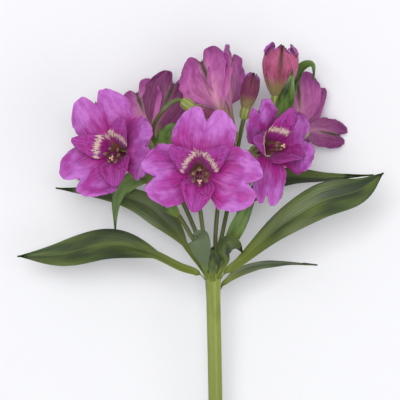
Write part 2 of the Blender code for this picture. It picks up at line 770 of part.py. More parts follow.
def stem_mesh():
    """The bare stem, from the whorl down to its cut end, which lies on the surface."""
    points = []
    radii = []
    for i in range(STEM_RINGS + 1):
        t = i / STEM_RINGS
        drift = STEM_DRIFT * t + STEM_BOW * math.sin(math.pi * t)
        height = mix(WHORL_HEIGHT, STEM_END_HEIGHT, t)
        points.append(from_whorl((drift, -STEM_LENGTH * t, height)))
        radii.append(mix(STEM_TOP_RADIUS, STEM_RADIUS, smooth_step(t, 0.0, STEM_TAPER_END)) * MM)
    mesh = tube_mesh(points, radii, STEM_RESOLUTION)
    cut_flat_below(mesh, 0.0)
    return mesh


def build():
    for piece in list(bpy.data.objects):
        bpy.data.objects.remove(piece)
    parts = bpy.data.collections.new(PART_NAME)
    bpy.context.scene.collection.children.link(parts)
    looks = {name: new_material(name, *look) for name, look in LOOKS.items()}
    new_object("stem", stem_mesh(), parts, looks["stem"])
    for name, leaf in LEAVES.items():
        new_object("leaf_" + name, leaf_mesh(leaf), parts, looks["leaf"])
    for name, ray in RAYS.items():
        new_object("ray_" + name, ray_mesh(ray), parts, looks["ray"])
    for name, bloom in BLOOMS.items():
        tepals = tepals_mesh(bloom)
        cut_flat_below(tepals, 0.0)
        new_object("tepals_" + name, tepals, parts, looks["tepals"])
        new_object("stamens_" + name, stamens_mesh(bloom), parts, looks["stamens"])
    for name, bud in BUDS.items():
        new_object("bud_" + name, bud_mesh(bud), parts, looks["bud"])


build()
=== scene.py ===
import math
import bpy
import numpy as np
from mathutils import Matrix, Vector
from types import SimpleNamespace


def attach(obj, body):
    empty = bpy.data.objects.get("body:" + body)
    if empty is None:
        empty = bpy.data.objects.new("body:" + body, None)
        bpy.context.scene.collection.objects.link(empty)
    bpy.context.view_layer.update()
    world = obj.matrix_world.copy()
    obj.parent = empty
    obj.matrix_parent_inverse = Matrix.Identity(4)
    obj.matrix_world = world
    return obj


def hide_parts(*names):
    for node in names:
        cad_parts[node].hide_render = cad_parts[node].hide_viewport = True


# A cut alstroemeria stem with its umbel, lying on a pale floor and seen from straight above.
# Lengths are in millimetres from the whorl, the place where leaves and rays leave the stem, but
# heights are from the floor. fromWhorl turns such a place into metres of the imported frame.

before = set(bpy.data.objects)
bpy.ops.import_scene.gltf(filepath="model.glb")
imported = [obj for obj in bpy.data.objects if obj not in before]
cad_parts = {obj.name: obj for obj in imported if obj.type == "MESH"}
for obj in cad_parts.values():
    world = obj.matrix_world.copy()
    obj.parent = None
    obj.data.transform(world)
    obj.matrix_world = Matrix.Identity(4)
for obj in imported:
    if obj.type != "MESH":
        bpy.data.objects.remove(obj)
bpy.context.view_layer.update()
print("frame loaded with", len(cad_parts), "nodes")

mm = 0.001
whorlPlace = Vector((7.62, 67.6, 0))
whorlHeight = 45
upStem = Vector((0, 1, 0))


# Small sums

def smoothStep(value, low, high):
    t = min(max((value - low) / (high - low), 0), 1)
    return t * t * (3 - 2 * t)


def mix(a, b, t):
    return a + (b - a) * t


def shares(steps):  # from 0 to 1 in equal steps
    return [i / steps for i in range(steps + 1)]


def fromWhorl(point):
    return (whorlPlace + Vector(point)) * mm


def paint(red, green, blue):  # a screen colour as the linear one that shaders take
    linear = [(c / 255 + 0.055) / 1.055 for c in (red, green, blue)]
    return (*[c ** 2.4 for c in linear], 1)


def smoothRoute(points, count, first=None, last=None):
    # A smooth curve through the points, which may be told how it leaves the first and meets the last
    knots = [np.array(p, float) for p in points]
    before = 2 * knots[0] - knots[1]
    after = 2 * knots[-1] - knots[-2]
    if first:
        before = knots[1] - 2 * np.array(first) * np.linalg.norm(knots[1] - knots[0])
    if last:
        after = knots[-2] + 2 * np.array(last) * np.linalg.norm(knots[-1] - knots[-2])
    knots = [before, *knots, after]
    spans = len(knots) - 3
    places = []
    for i in range(count):
        s = spans * i / (count - 1)
        k = min(int(s), spans - 1)
        t = s - k
        a, b, c, d = knots[k : k + 4]
        place = 0.5 * (2 * b + (c - a) * t + (2 * a - 5 * b + 4 * c - d) * t * t)
        places.append(Vector(place + 0.5 * (3 * b - a - 3 * c + d) * t * t * t))
    return places


# Node boards: a Wire is a socket that takes part in sums, a Board is the tree that it is in

def signs(operation):
    # The two methods of one of Python's signs: with the wire on its left, and on its right
    def onLeft(wire, value):
        return wire.board.math(operation, wire, value)

    def onRight(wire, value):
        return wire.board.math(operation, value, wire)

    return onLeft, onRight


class Wire:
    __add__, __radd__ = signs("ADD")
    __sub__, __rsub__ = signs("SUBTRACT")
    __mul__, __rmul__ = signs("MULTIPLY")
    __truediv__, __rtruediv__ = signs("DIVIDE")
    __pow__ = signs("POWER")[0]
    __gt__ = signs("GREATER_THAN")[0]

    def __init__(self, board, socket):
        self.board = board
        self.socket = socket

    def other(self, name):  # another output of the same node
        return Wire(self.board, pickSocket(self.socket.node.outputs, name))

    def __neg__(self):
        return self * -1

    def __abs__(self):
        return self.board.math("ABSOLUTE", self)


def pickSocket(sockets, key):
    if isinstance(key, int):
        return sockets[key]
    return next(socket for socket in sockets if socket.enabled and socket.name == key)


class Board:
    def __init__(self, tree):
        self.tree = tree

    def node(self, kind, values=None, output=0, **settings):
        made = self.tree.nodes.new(kind)
        for name, value in settings.items():
            setattr(made, name, value)
        for name, value in (values or {}).items():
            self.feed(pickSocket(made.inputs, name), value)
        return Wire(self, pickSocket(made.outputs, output))

    def feed(self, socket, value):
        if isinstance(value, Wire):
            self.tree.links.new(value.socket, socket)
        elif value is not None:
            socket.default_value = value

    def math(self, operation, *values):
        return self.node("ShaderNodeMath", dict(enumerate(values)), operation=operation)

    def sin(self, value):
        return self.math("SINE", value)

    def cos(self, value):
        return self.math("COSINE", value)

    def most(self, a, b):
        return self.math("MAXIMUM", a, b)

    def bell(self, value, width):  # 1 at zero, and almost nothing two widths away
        ratio = value / width
        return self.math("EXPONENT", -(ratio * ratio))

    def rise(self, value, low, high):
        return self.node("ShaderNodeMapRange", {"Value": value, "From Min": low, "From Max": high},
                         interpolation_type="SMOOTHSTEP")

    def vector(self, operation, *values, scale=None):
        fed = dict(enumerate(values))
        if scale is not None:
            fed["Scale"] = scale
        output = 1 if operation == "DOT_PRODUCT" else 0
        return self.node("ShaderNodeVectorMath", fed, output, operation=operation)

    def point(self, x, y, z):
        return self.node("ShaderNodeCombineXYZ", {"X": x, "Y": y, "Z": z})

    def split(self, vector):
        x = self.node("ShaderNodeSeparateXYZ", {0: vector})
        return x, x.other("Y"), x.other("Z")

    def noise(self, vector, scale=1, detail=2):
        return self.node("ShaderNodeTexNoise", {"Vector": vector, "Scale": scale, "Detail": detail})

    def noiseAt(self, x, y, z, detail=3):
        return self.noise(self.point(x, y, z), detail=detail)

    def attribute(self, name):  # for shaders
        return self.node("ShaderNodeAttribute", output="Fac", attribute_name=name)

    def colour(self, amount, a, b, kind="MIX"):
        return self.node("ShaderNodeMix", {"Factor": amount, "A": a, "B": b}, "Result",
                         data_type="RGBA", blend_type=kind)

    def layers(self, colour, *coats):  # each coat is how much of it shows, and its colour
        for amount, coat in coats:
            colour = self.colour(amount, colour, coat)
        return colour

    def named(self, name):  # for geometry
        return self.node("GeometryNodeInputNamedAttribute", {"Name": name}, "Attribute", data_type="FLOAT")

    def store(self, geometry, name, value, domain="POINT", kind="FLOAT"):
        return self.node("GeometryNodeStoreNamedAttribute",
                         {"Geometry": geometry, "Name": name, "Value": value},
                         data_type=kind, domain=domain)

    def moved(self, geometry, **where):  # to a Position, or by an Offset
        return self.node("GeometryNodeSetPosition", {"Geometry": geometry, **where})

    def joined(self, *geometries):
        join = self.tree.nodes.new("GeometryNodeJoinGeometry")
        for geometry in geometries:
            self.feed(join.inputs[0], geometry)
        return Wire(self, join.outputs[0])

    def sampled(self, curve, along, value=None):
        return self.node("GeometryNodeSampleCurve", {"Curves": curve, "Factor": along, "Value": value},
                         "Value", mode="FACTOR", data_type="FLOAT")


# Finishes

def newFinish(name, fixed):
    finish = bpy.data.materials.new(name)
    finish.use_nodes = True
    shader = finish.node_tree.nodes["Principled BSDF"]
    for socket, value in fixed.items():
        shader.inputs[socket].default_value = value
    return finish, Board(finish.node_tree), shader


def feedShader(board, shader, colour, roughness, height, distance):
    bump = board.node("ShaderNodeBump", {"Strength": 1, "Distance": distance, "Height": height})
    board.feed(shader.inputs["Base Color"], colour)
    board.feed(shader.inputs["Roughness"], roughness)
    board.feed(shader.inputs["Normal"], bump)


def bladePlace(board):
    # Where a point is on a blade: from -1 to 1 across it, and from 0 to 1 along it
    sideways, along, _ = board.split(board.node("ShaderNodeUVMap", uv_map="UVMap"))
    return sideways * 2 - 1, along


petalColours = {
    "body": paint(171, 80, 171),
    "pale": paint(195, 118, 202),
    "hot": paint(166, 30, 130),
    "deep": paint(118, 16, 88),
    "tube": paint(188, 124, 98),
    "cream": paint(232, 212, 192),
    "fleck": paint(76, 14, 44),
    "back": paint(104, 44, 84),
    "backPale": paint(190, 96, 170),
    "backRib": paint(222, 156, 178),
    "backTip": paint(54, 58, 34),
    "backRim": paint(112, 34, 100),
    "backRoot": paint(146, 132, 84),
}
budColours = {
    **petalColours,
    "deep": paint(122, 38, 62),
    "back": paint(112, 46, 84),
    "backPale": paint(188, 92, 134),
    "backRib": paint(112, 44, 52),
    "backTip": paint(62, 44, 34),
    "backRim": paint(62, 40, 36),
}
petalShine = {
    "Sheen Weight": 0.15,
    "Sheen Roughness": 0.4,
    "Sheen Tint": paint(235, 190, 240),
    "Subsurface Weight": 0.10,
    "Subsurface Radius": (1, 0.5, 0.9),
    "Subsurface Scale": 0.0010,
    "Specular IOR Level": 0.30,
}
tepalKinds = {"outer": 0, "top": 0.25, "inner": 1, "lower": 2}  # as the finish tells them apart


def petalMaps(board):
    # Where a point is on a tepal, which kind of tepal it is, and the noises along it
    across, along = bladePlace(board)
    tone = board.attribute("tone")
    kind = board.attribute("kind")
    inner = kind > 0.5
    streak = board.noiseAt(across * 17, along * 1.6, tone * 31)
    mottle = board.noiseAt(across * 2.6, along * 4, tone * 13)
    return SimpleNamespace(
        across=across,
        along=along,
        tone=tone,
        inner=inner,
        lower=kind > 1.5,
        top=(kind > 0.1) * (1 - inner),
        streak=streak,
        mottle=mottle,
        crumple=board.noiseAt(across * 9, along * 13, tone * 17),
        vein=board.rise(streak, 0.48, 0.64),
        raggedAlong=along + (mottle - 0.5) * 0.3 + abs(across) * 0.06,
    )


def creamArch(board, petal):
    # A band with ragged teeth over the throat, further out on the inner tepals
    teeth = board.noiseAt(petal.across * 16, petal.tone * 9, 0, detail=1)
    teeth = (teeth - 0.5) * 0.2
    shifted = petal.along - petal.inner * 0.17
    arch = board.rise(shifted + teeth, 0.42, 0.45) * (1 - board.rise(shifted - teeth, 0.50, 0.54))
    return arch * (1 - petal.lower)


def outerFace(board, petal, colours, arch):
    # A dark tube, then a hot throat and veins that fade out in an orchid lobe
    hot = 1 - board.rise(petal.raggedAlong, 0.50, 0.88)
    lobe = board.layers(
        colours["body"],
        (board.rise(petal.mottle, 0.40, 0.66) * 0.75, colours["pale"]),
        (board.rise(petal.mottle, 0.50, 0.30) * 0.55, colours["hot"]),
        (hot * 0.9, colours["hot"]),
        (petal.vein * (0.14 + hot * 0.5), colours["deep"]),
        (board.rise(petal.along, 0.88, 1) * 0.35, colours["pale"]),
    )
    return board.layers(
        colours["tube"],
        (board.rise(petal.along, 0.30, 0.44), lobe),
        (arch * board.bell(petal.across, 0.4) * petal.top * 0.6, colours["cream"]),
    )


def innerFace(board, petal, colours, arch):
    # A cream arch, and dark dashes over it and beyond. The lower tepal has dark veins and no arch
    cell = board.node("ShaderNodeTexVoronoi", {
        "Vector": board.point(petal.across * 6.5, petal.along * 15, petal.tone * 7), "Scale": 1,
    }, "Distance")
    dash = (1 - board.rise(cell, 0.20, 0.30)) * board.rise(petal.along, 0.56, 0.60)
    dash = dash * (1 - board.rise(petal.along, 0.88, 0.98))
    blade = board.layers(
        colours["hot"],
        (board.rise(petal.mottle, 0.35, 0.7) * 0.6, colours["body"]),
        (board.rise(petal.along, 0.66, 1) * 0.6, colours["body"]),
    )
    return board.layers(
        colours["tube"],
        (board.rise(petal.along, 0.30, 0.42), blade),
        (arch * 0.9, colours["cream"]),
        (dash * 0.9, colours["fleck"]),
        (petal.vein * petal.lower * 0.75, colours["deep"]),
    )


def petalBack(board, petal, colours, veined, rim):
    # A midrib from a greenish root to a dark green point, and a glow round it on the pale backs. The pale
    # attribute lifts the back towards its pale colour and scales the midrib and the glow: partly the
    # back's own colour, and partly painted shade that darkens the backs of tepals in shade
    pale = board.attribute("pale")
    vein = petal.vein * (1 - board.rise(petal.along, 0.5, 0.95) * 0.7) * veined
    rib = board.most(board.bell(petal.across, 0.30 - petal.along * 0.18) * 0.8, vein)
    glow = board.bell(petal.across, 0.7) * (1 - board.rise(petal.along, 0.40, 0.85)) * pale
    return board.layers(
        colours["back"],
        (pale, colours["backPale"]),
        (board.rise(petal.mottle, 0.52, 0.32) * 0.5, colours["deep"]),
        (rib * (0.35 + pale * 0.65), colours["backRib"]),
        (glow * (1 - rim) * 0.6, colours["backRib"]),
        (1 - board.rise(petal.along, 0.10, 0.42), colours["backRoot"]),
        (board.rise(petal.along, 0.34, 0.80) * board.bell(petal.across, 0.10), colours["backTip"]),
        (board.rise(petal.raggedAlong, 0.82, 1.02) * rim, colours["backRim"]),
    )


def makePetalFinish(name, colours, veined, rim):
    # "veined" is how far the veins show on the back, and "rim" how dark its far edge is
    finish, board, shader = newFinish(name, petalShine)
    petal = petalMaps(board)
    arch = creamArch(board, petal)
    outer = outerFace(board, petal, colours, arch)
    inner = innerFace(board, petal, colours, arch)
    back = petalBack(board, petal, colours, veined, rim)
    colour = board.layers(outer, (petal.inner, inner), (board.attribute("back"), back))
    # Painted shade and light of the crumples: the crumple noise that also drives the bump lightens the
    # ridges and darkens the hollows of the colour
    paintedCrumpleShade = board.point(petal.crumple, petal.crumple, petal.crumple)
    colour = board.colour(0.5, colour, paintedCrumpleShade, "SOFT_LIGHT")
    height = petal.streak * 0.8 + petal.mottle + petal.crumple * 1.4
    feedShader(board, shader, colour, 0.50 + petal.mottle * 0.16, height, 0.00035)
    return finish


leafColours = {
    "upper": paint(56, 72, 32),
    "upperLight": paint(86, 102, 42),
    "upperDark": paint(38, 50, 26),
    "under": paint(92, 108, 76),
    "root": paint(118, 132, 48),
    "vein": paint(92, 108, 54),
}
bractColours = {
    **leafColours,
    "upper": paint(76, 104, 44),
    "upperLight": paint(106, 136, 58),
    "under": paint(100, 118, 82),
}
leafShine = {
    "Specular IOR Level": 0.4,
    "Coat Roughness": 0.35,
    "Coat Weight": 0.05,
    "Subsurface Weight": 0.06,
    "Subsurface Radius": (0.5, 1, 0.3),
    "Subsurface Scale": 0.0008,
}
veinCounts = {"leaf": 11, "bract": 7}


def makeLeafFinish(kind, colours):
    finish, board, shader = newFinish(kind + "Skin", leafShine)
    across, along = bladePlace(board)
    tone = board.attribute("tone")
    back = board.attribute("back")
    patch = board.noiseAt(across * 1.2, along * 3.2, tone * 11, detail=2)
    thread = board.noiseAt(across * 30, along * 2.5, tone * 5)
    vein = board.rise(board.cos(across * (math.pi * veinCounts[kind])), 0.72, 1)
    under = board.colour(vein * 0.2, colours["under"], colours["vein"])
    colour = board.layers(
        colours["upper"],
        (board.rise(patch, 0.42, 0.66), colours["upperLight"]),
        (board.rise(patch, 0.50, 0.30), colours["upperDark"]),
        (vein * 0.08, colours["vein"]),
        (board.bell(across, 0.05) * 0.5, colours["vein"]),
        (back, under),
        ((1 - board.rise(along, 0.08, 0.42)) * 0.85, colours["root"]),
        (board.rise(thread, 0.5, 0.7) * 0.18, colours["upperDark"]),
    )
    roughness = 0.34 + back * 0.22 + thread * 0.12
    feedShader(board, shader, colour, roughness, thread * 0.6 + vein * 0.15, 0.0002)
    return finish


stalkColours = {
    "stem": {"body": paint(134, 146, 62), "rib": paint(150, 162, 80), "low": paint(104, 116, 46)},
    "ray": {"body": paint(86, 98, 42), "rib": paint(112, 126, 60), "low": paint(78, 66, 38)},
    "ovary": {"body": paint(134, 146, 66), "rib": paint(170, 178, 100), "low": paint(104, 112, 50)},
    "point": {"body": paint(58, 62, 38), "rib": paint(78, 82, 48), "low": paint(60, 34, 40)},
    "pith": {"body": paint(206, 212, 160), "rib": paint(188, 198, 132), "low": paint(150, 160, 96)},
}
stalkShine = {
    "Specular IOR Level": 0.45,
    "Subsurface Weight": 0.10,
    "Subsurface Radius": (0.6, 1, 0.3),
    "Subsurface Scale": 0.001,
}
darkestPlace = -60  # the stem darkens from the whorl down to here, along the frame's Y


def makeStalkFinish(kind):
    colours = stalkColours[kind]
    finish, board, shader = newFinish(kind + "Skin", stalkShine)
    place = board.node("ShaderNodeTexCoord", output="Object")
    blotch = board.noise(board.vector("MULTIPLY", place, (90, 30, 90)))
    grain = board.noise(board.vector("MULTIPLY", place, (2600, 160, 2600)), detail=3)
    _, height, _ = board.split(place)
    downward = board.rise(height, whorlPlace.y * mm, darkestPlace * mm) * 0.6
    colour = board.layers(
        colours["body"],
        (board.rise(board.attribute("rib"), -0.2, 1) * 0.6, colours["rib"]),
        (board.most(board.rise(blotch, 0.48, 0.72) * 0.7, downward), colours["low"]),
        (board.rise(grain, 0.5, 0.75) * 0.3, colours["low"]),
    )
    feedShader(board, shader, colour, 0.40 + grain * 0.15, grain, 0.00012)
    return finish


grainColours = {
    "filament": (paint(176, 84, 140), paint(150, 50, 110)),
    "anther": (paint(142, 108, 88), paint(96, 62, 62)),
    "pollen": (paint(190, 164, 128), paint(150, 118, 92)),
    "stigma": (paint(226, 204, 168), paint(206, 160, 130)),
}


def makeGrainFinish(kind):
    light, dark = grainColours[kind]
    finish, board, shader = newFinish(kind + "Skin", {"Specular IOR Level": 0.3})
    grain = board.noise(board.node("ShaderNodeTexCoord", output="Object"), 900, 3)
    colour = board.colour(board.rise(grain, 0.35, 0.65), light, dark)
    feedShader(board, shader, colour, 0.55 + grain * 0.2, grain, 0.00015)
    return finish


finishes = {
    "petal": makePetalFinish("petalSkin", petalColours, 0.22, 0.55),
    "budPetal": makePetalFinish("budSkin", budColours, 0.75, 0.8),
    "leaf": makeLeafFinish("leaf", leafColours),
    "bract": makeLeafFinish("bract", bractColours),
    **{kind: makeStalkFinish(kind) for kind in stalkColours},
    **{kind: makeGrainFinish(kind) for kind in grainColours},
}
print("finishes made:", ", ".join(finishes))


# Geometry trees

def newTree(name, inputs):
    # A board, and the wires from its inputs, which are told as a kind of socket and its names
    tree = bpy.data.node_groups.new(name, "GeometryNodeTree")
    tree.interface.new_socket("Geometry", in_out="OUTPUT", socket_type="NodeSocketGeometry")
    for kind, titles in inputs.items():
        for title in titles.split():
            tree.interface.new_socket(title, in_out="INPUT", socket_type="NodeSocket" + kind)
    board = Board(tree)
    start = tree.nodes.new("NodeGroupInput")
    return board, SimpleNamespace(**{s.name: Wire(board, s) for s in start.outputs if s.name})


def closeTree(board, geometry, finish):
    smooth = board.node("GeometryNodeSetShadeSmooth", {"Geometry": geometry})
    real = board.node("GeometryNodeRealizeInstances", {"Geometry": smooth})
    painted = board.node("GeometryNodeSetMaterial", {"Geometry": real, "Material": finish})
    end = board.tree.nodes.new("NodeGroupOutput")
    board.feed(end.inputs["Geometry"], painted)
    return board.tree


def flatGrid(board, given):
    # A sheet of points, with its place across from -1 to 1 and along from 0 to 1
    grid = board.node("GeometryNodeMeshGrid", {
        "Size X": 2, "Size Y": 1, "Vertices X": given.pointsAcross, "Vertices Y": given.pointsAlong,
    })
    across, low, _ = board.split(board.node("GeometryNodeInputPosition"))
    along = low + 0.5
    flat = board.point(across * 0.5 + 0.5, along, 0)
    grid = board.store(grid, "UVMap", flat, "CORNER", "FLOAT2")
    return board.store(grid, "tone", given.tone), across, along


def thickened(board, sheet, thickness, baseSide):
    # Both faces and the rim of a blade. "back" says which face a point is on: 0 front, 1 back
    half = board.vector("SCALE", board.node("GeometryNodeInputNormal"), scale=thickness * -0.5)
    base = board.moved(sheet, Offset=half)
    outer = board.node("GeometryNodeExtrudeMesh",
                       {"Mesh": base, "Offset Scale": thickness, "Individual": False}, mode="FACES")
    outer = board.store(outer, "back", 1 - baseSide, "FACE")
    base = board.node("GeometryNodeFlipFaces", {"Mesh": base})
    shell = board.joined(outer, board.store(base, "back", baseSide, "FACE"))
    return board.node("GeometryNodeMergeByDistance", {"Geometry": shell, "Distance": thickness * 0.02})


def petalReach(board, given, across, along, seed):
    # How far along the midline a point is, after the notch, the cut corners and a ragged end
    ragged = (board.noiseAt(across * 3.4, 0, seed) - 0.5) * given.frill
    notch = given.notch * board.bell(across, given.notchWidth)
    tip = 1 - notch - given.corner * abs(across) ** given.cornerPower + ragged
    return along * (1 - (1 - tip) * along * along)


def petalHalfWidth(board, given, across, along, seed):
    spread = board.rise(along, given.widenStart, given.widenEnd)
    halfWidth = given.rootHalfWidth + (given.halfWidth - given.rootHalfWidth) * spread
    late = board.most(0, (along - given.tipStart) / (1 - given.tipStart))
    halfWidth = halfWidth * (1 - (1 - given.tipWidth) * late * late)
    uneven = board.noiseAt(across * 0.8, along * 6.5, seed + 4) - 0.5
    return halfWidth * (1 + uneven * given.frill * 5 * board.rise(along, 0.35, 0.6))


def petalLift(board, given, across, along, seed):
    # How far the blade stands off its curve: a wave, two domes, a groove, ruffles and a slant
    edge = abs(across)
    lobe = board.rise(along, 0.50, 0.85)
    wave = board.sin(along * 9 + given.phase + across * 2) * across * across
    hump = edge * 2 - 1
    groove = board.bell(across, 0.14) * board.rise(along, 0.3, 0.6)
    fold = board.noiseAt(across * 1.5, along * 2.6, seed + 8, detail=1) - 0.5
    frill = board.noiseAt(across * 4, along * 5.5, seed + 12, detail=2) - 0.5
    outer = board.most(edge * edge, board.rise(along, 0.6, 1))
    lift = given.wave * wave * board.rise(along, 0.4, 0.9)
    lift = lift + given.dome * (1 - hump * hump) * lobe
    lift = lift - given.groove * groove
    lift = lift + given.ruffle * lobe * (fold * 2.4 + frill * (0.5 + outer * 2))
    return lift - given.overlap * across


leastBend = 0.00001  # keeps a flat blade's bend from being nothing, as sums divide by it
goldenAngle = 2.4  # the turn from one leaf scar to the next, in radians


def makePetalTree():
    # A tepal: a grid laid on its midline, curved round the bloom's tube and open towards its tip.
    # It is built in the bloom's own frame, in millimetres, on the side of +X.
    board, given = newTree("petalBlade", {
        "Object": "path",
        "Int": "pointsAcross pointsAlong",
        "Float": "halfWidth rootHalfWidth widenStart widenEnd tipStart tipWidth notch notchWidth "
                 "corner cornerPower flareBend bendStart bendEnd wave dome groove ruffle frill "
                 "overlap phase thickness tone kind pale",
        "Material": "finish",
    })
    midline = board.node("GeometryNodeObjectInfo", {"Object": given.path}, "Geometry")
    grid, across, along = flatGrid(board, given)
    grid = board.store(grid, "kind", given.kind)
    # pale: how pale a tepal's back is, partly its own colour and partly painted shade
    grid = board.store(grid, "pale", given.pale)
    seed = given.phase * 1.7
    spot = board.sampled(midline, petalReach(board, given, across, along, seed))
    radius, _, height = board.split(spot.other("Position"))
    outward, _, upward = board.split(spot.other("Tangent"))

    opening = board.rise(along, given.bendStart, given.bendEnd)
    rootBend = 1 / radius
    bend = rootBend + (given.flareBend - rootBend) * opening + leastBend
    side = across * petalHalfWidth(board, given, across, along, seed)
    sideways = board.sin(side * bend) / bend
    halfTurn = board.sin(side * bend * 0.5)
    lift = 2 * halfTurn * halfTurn / bend + petalLift(board, given, across, along, seed)
    place = board.point(radius - upward * lift, sideways, height + outward * lift)
    blade = board.moved(grid, Position=place)
    return closeTree(board, thickened(board, blade, given.thickness, 0), given.finish)


def makeLeafTree():
    # A leaf or bract: a grid laid on its midrib, whose radius is the half width and whose tilt
    # turns the blade. Its parallel veins are low waves across it.
    board, given = newTree("leafBlade", {
        "Object": "path",
        "Int": "pointsAcross pointsAlong",
        "Float": "fold arch veins veinHeight ripple rippleRate thickness under tone",
        "Material": "finish",
    })
    midrib = board.node("GeometryNodeObjectInfo", {"Object": given.path}, "Geometry")
    grid, across, along = flatGrid(board, given)
    halfWidth = board.sampled(midrib, along, board.node("GeometryNodeInputRadius"))
    tilt = board.sampled(midrib, along, board.node("GeometryNodeInputCurveTilt"))
    tangent = halfWidth.other("Tangent")
    steep = board.vector("DOT_PRODUCT", tangent, (0, 0, 1))
    face = board.vector("SUBTRACT", (0, 0, 1), board.vector("SCALE", tangent, scale=steep))
    face = board.node("ShaderNodeVectorRotate", {
        "Vector": board.vector("NORMALIZE", face), "Axis": tangent, "Angle": tilt,
    }, rotation_type="AXIS_ANGLE")
    sideways = board.vector("CROSS_PRODUCT", tangent, face)

    edge = abs(across)
    crease = board.math("SQRT", across * across + 0.01) - 0.1
    lift = halfWidth * (given.fold * crease - given.arch * across * across)
    lift = lift + given.veinHeight * board.cos(across * given.veins * math.pi)
    ripple = board.sin(along * given.rippleRate + given.tone * 6 + across)
    lift = lift + given.ripple * halfWidth * ripple * edge * edge * edge
    place = board.vector("ADD", halfWidth.other("Position"),
                         board.vector("SCALE", sideways, scale=across * halfWidth))
    place = board.vector("ADD", place, board.vector("SCALE", face, scale=lift))
    blade = board.moved(grid, Position=place)
    return closeTree(board, thickened(board, blade, given.thickness, 1 - given.under), given.finish)


def makeStalkTree():
    # A ribbed stalk along each line of a curve, as thick as the line's radius. Leaf scars, if it
    # has any, climb round it in steps of the golden angle.
    board, given = newTree("ribbedStalk", {
        "Geometry": "lines",
        "Int": "sides",
        "Float": "ribs ribDepth scarHeight scarGap scarStart",
        "Material": "finish",
    })
    step = board.node("GeometryNodeSplineParameter")
    turn = step * (2 * math.pi)
    rib = board.cos(turn * given.ribs)
    ring = board.node("GeometryNodeCurvePrimitiveCircle", {"Resolution": given.sides, "Radius": 1})
    ring = board.store(ring, "rib", rib)
    ring = board.store(ring, "turn", turn)
    around = board.node("GeometryNodeInputPosition")
    ring = board.moved(ring, Offset=board.vector("SCALE", around, scale=rib * given.ribDepth))
    stalk = board.node("GeometryNodeCurveToMesh", {
        "Curve": board.store(given.lines, "along", step.other("Length")), "Profile Curve": ring,
        "Scale": board.node("GeometryNodeInputRadius"), "Fill Caps": True,
    })
    along = board.named("along")
    count = (along - given.scarStart) / given.scarGap
    number = board.math("FLOOR", count)
    away = count - number - 0.5
    facing = board.most(0, board.cos(board.named("turn") - number * goldenAngle))
    ridge = board.bell(away, 0.035) - board.bell(away + 0.07, 0.05) * 0.5
    scar = given.scarHeight * ridge * facing ** 3 * (along > given.scarStart)
    normal = board.node("GeometryNodeInputNormal")
    stalk = board.moved(stalk, Offset=board.vector("SCALE", normal, scale=scar))
    return closeTree(board, stalk, given.finish)


def makePollenTree():
    # Grains of pollen strewn over the anthers that are its input
    board, given = newTree("pollenDust", {
        "Geometry": "anthers",
        "Float": "density grain",
        "Int": "seed",
        "Material": "finish",
    })
    spots = board.node("GeometryNodeDistributePointsOnFaces",
                       {"Mesh": given.anthers, "Density": given.density, "Seed": given.seed})
    grain = board.node("GeometryNodeMeshIcoSphere", {"Radius": given.grain, "Subdivisions": 1})
    size = board.node("FunctionNodeRandomValue", {"Min": 0.6, "Max": 1.2, "Seed": given.seed}, "Value",
                      data_type="FLOAT")
    dust = board.node("GeometryNodeInstanceOnPoints",
                      {"Points": spots, "Instance": grain, "Scale": board.point(size, size, size)})
    return closeTree(board, dust, given.finish)


petalTree = makePetalTree()
leafTree = makeLeafTree()
stalkTree = makeStalkTree()
pollenTree = makePollenTree()
print("geometry trees made")


# From a tree to a finished piece

floorGap = 0.02  # how far every piece stays above the floor
sharpAngle = 50  # edges that turn by more degrees than this stay sharp
plainStalk = {"ribs": 0, "ribDepth": 0, "scarStart": 1000, "scarGap": 1, "scarHeight": 0}


def linked(holder):
    bpy.context.scene.collection.objects.link(holder)
    return holder


def newCurve(lines):
    # Each line is a list of points with their radius, and with their tilt if it has any
    curve = bpy.data.curves.new("path", "CURVE")
    curve.dimensions = "3D"
    for line in lines:
        spline = curve.splines.new("POLY")
        spline.points.add(len(line) - 1)
        for knot, (place, radius, *tilt) in zip(spline.points, line):
            knot.co = (*place, 1)
            knot.radius = radius
            knot.tilt = tilt[0] if tilt else 0
    return curve


def grow(tree, values, data=None):
    # The plain mesh that a tree makes on a carrier, with each of its inputs taken from the values
    carrier = linked(bpy.data.objects.new("carrier", data or bpy.data.meshes.new("carrier")))
    modifier = carrier.modifiers.new("grow", "NODES")
    modifier.node_group = tree
    for socket in tree.interface.items_tree:
        if socket.in_out == "INPUT" and socket.socket_type != "NodeSocketGeometry":
            value = values[socket.name]
            exact = float(value) if socket.socket_type == "NodeSocketFloat" else value
            modifier[socket.identifier] = exact
    bpy.context.view_layer.update()
    graph = bpy.context.evaluated_depsgraph_get()
    mesh = bpy.data.meshes.new_from_object(
        carrier.evaluated_get(graph), preserve_all_data_layers=True, depsgraph=graph
    )
    bpy.data.objects.remove(carrier)
    return mesh


def growOnPath(tree, line, values):
    path = linked(bpy.data.objects.new("path", newCurve([line])))
    mesh = grow(tree, {**values, "path": path})
    bpy.data.objects.remove(path)
    return mesh


def growStalk(lines, finish, shape):
    return grow(stalkTree, {**plainStalk, **shape, "finish": finishes[finish]}, newCurve(lines))


def onAxis(profile):  # a line up a flower's own axis, from pairs of height and radius
    return [(Vector((0, 0, height)), radius) for height, radius in profile]


def makePiece(slot, name, meshes, node):
    # One piece from the meshes, which stands for its node and stays above the floor
    title = slot + "".join(word.capitalize() for word in name.split("_"))
    parts = [linked(bpy.data.objects.new(title, mesh)) for mesh in meshes]
    piece = parts[0]
    if len(parts) > 1:
        with bpy.context.temp_override(active_object=piece, selected_editable_objects=parts):
            bpy.ops.object.join()
    piece.name = title
    piece.data.name = title
    for vertex in piece.data.vertices:
        vertex.co.z = max(vertex.co.z, floorGap * mm)
    piece.data.shade_smooth()
    piece.data.set_sharp_from_angle(angle=math.radians(sharpAngle))
    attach(piece, "root")
    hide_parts(node)


# Stem

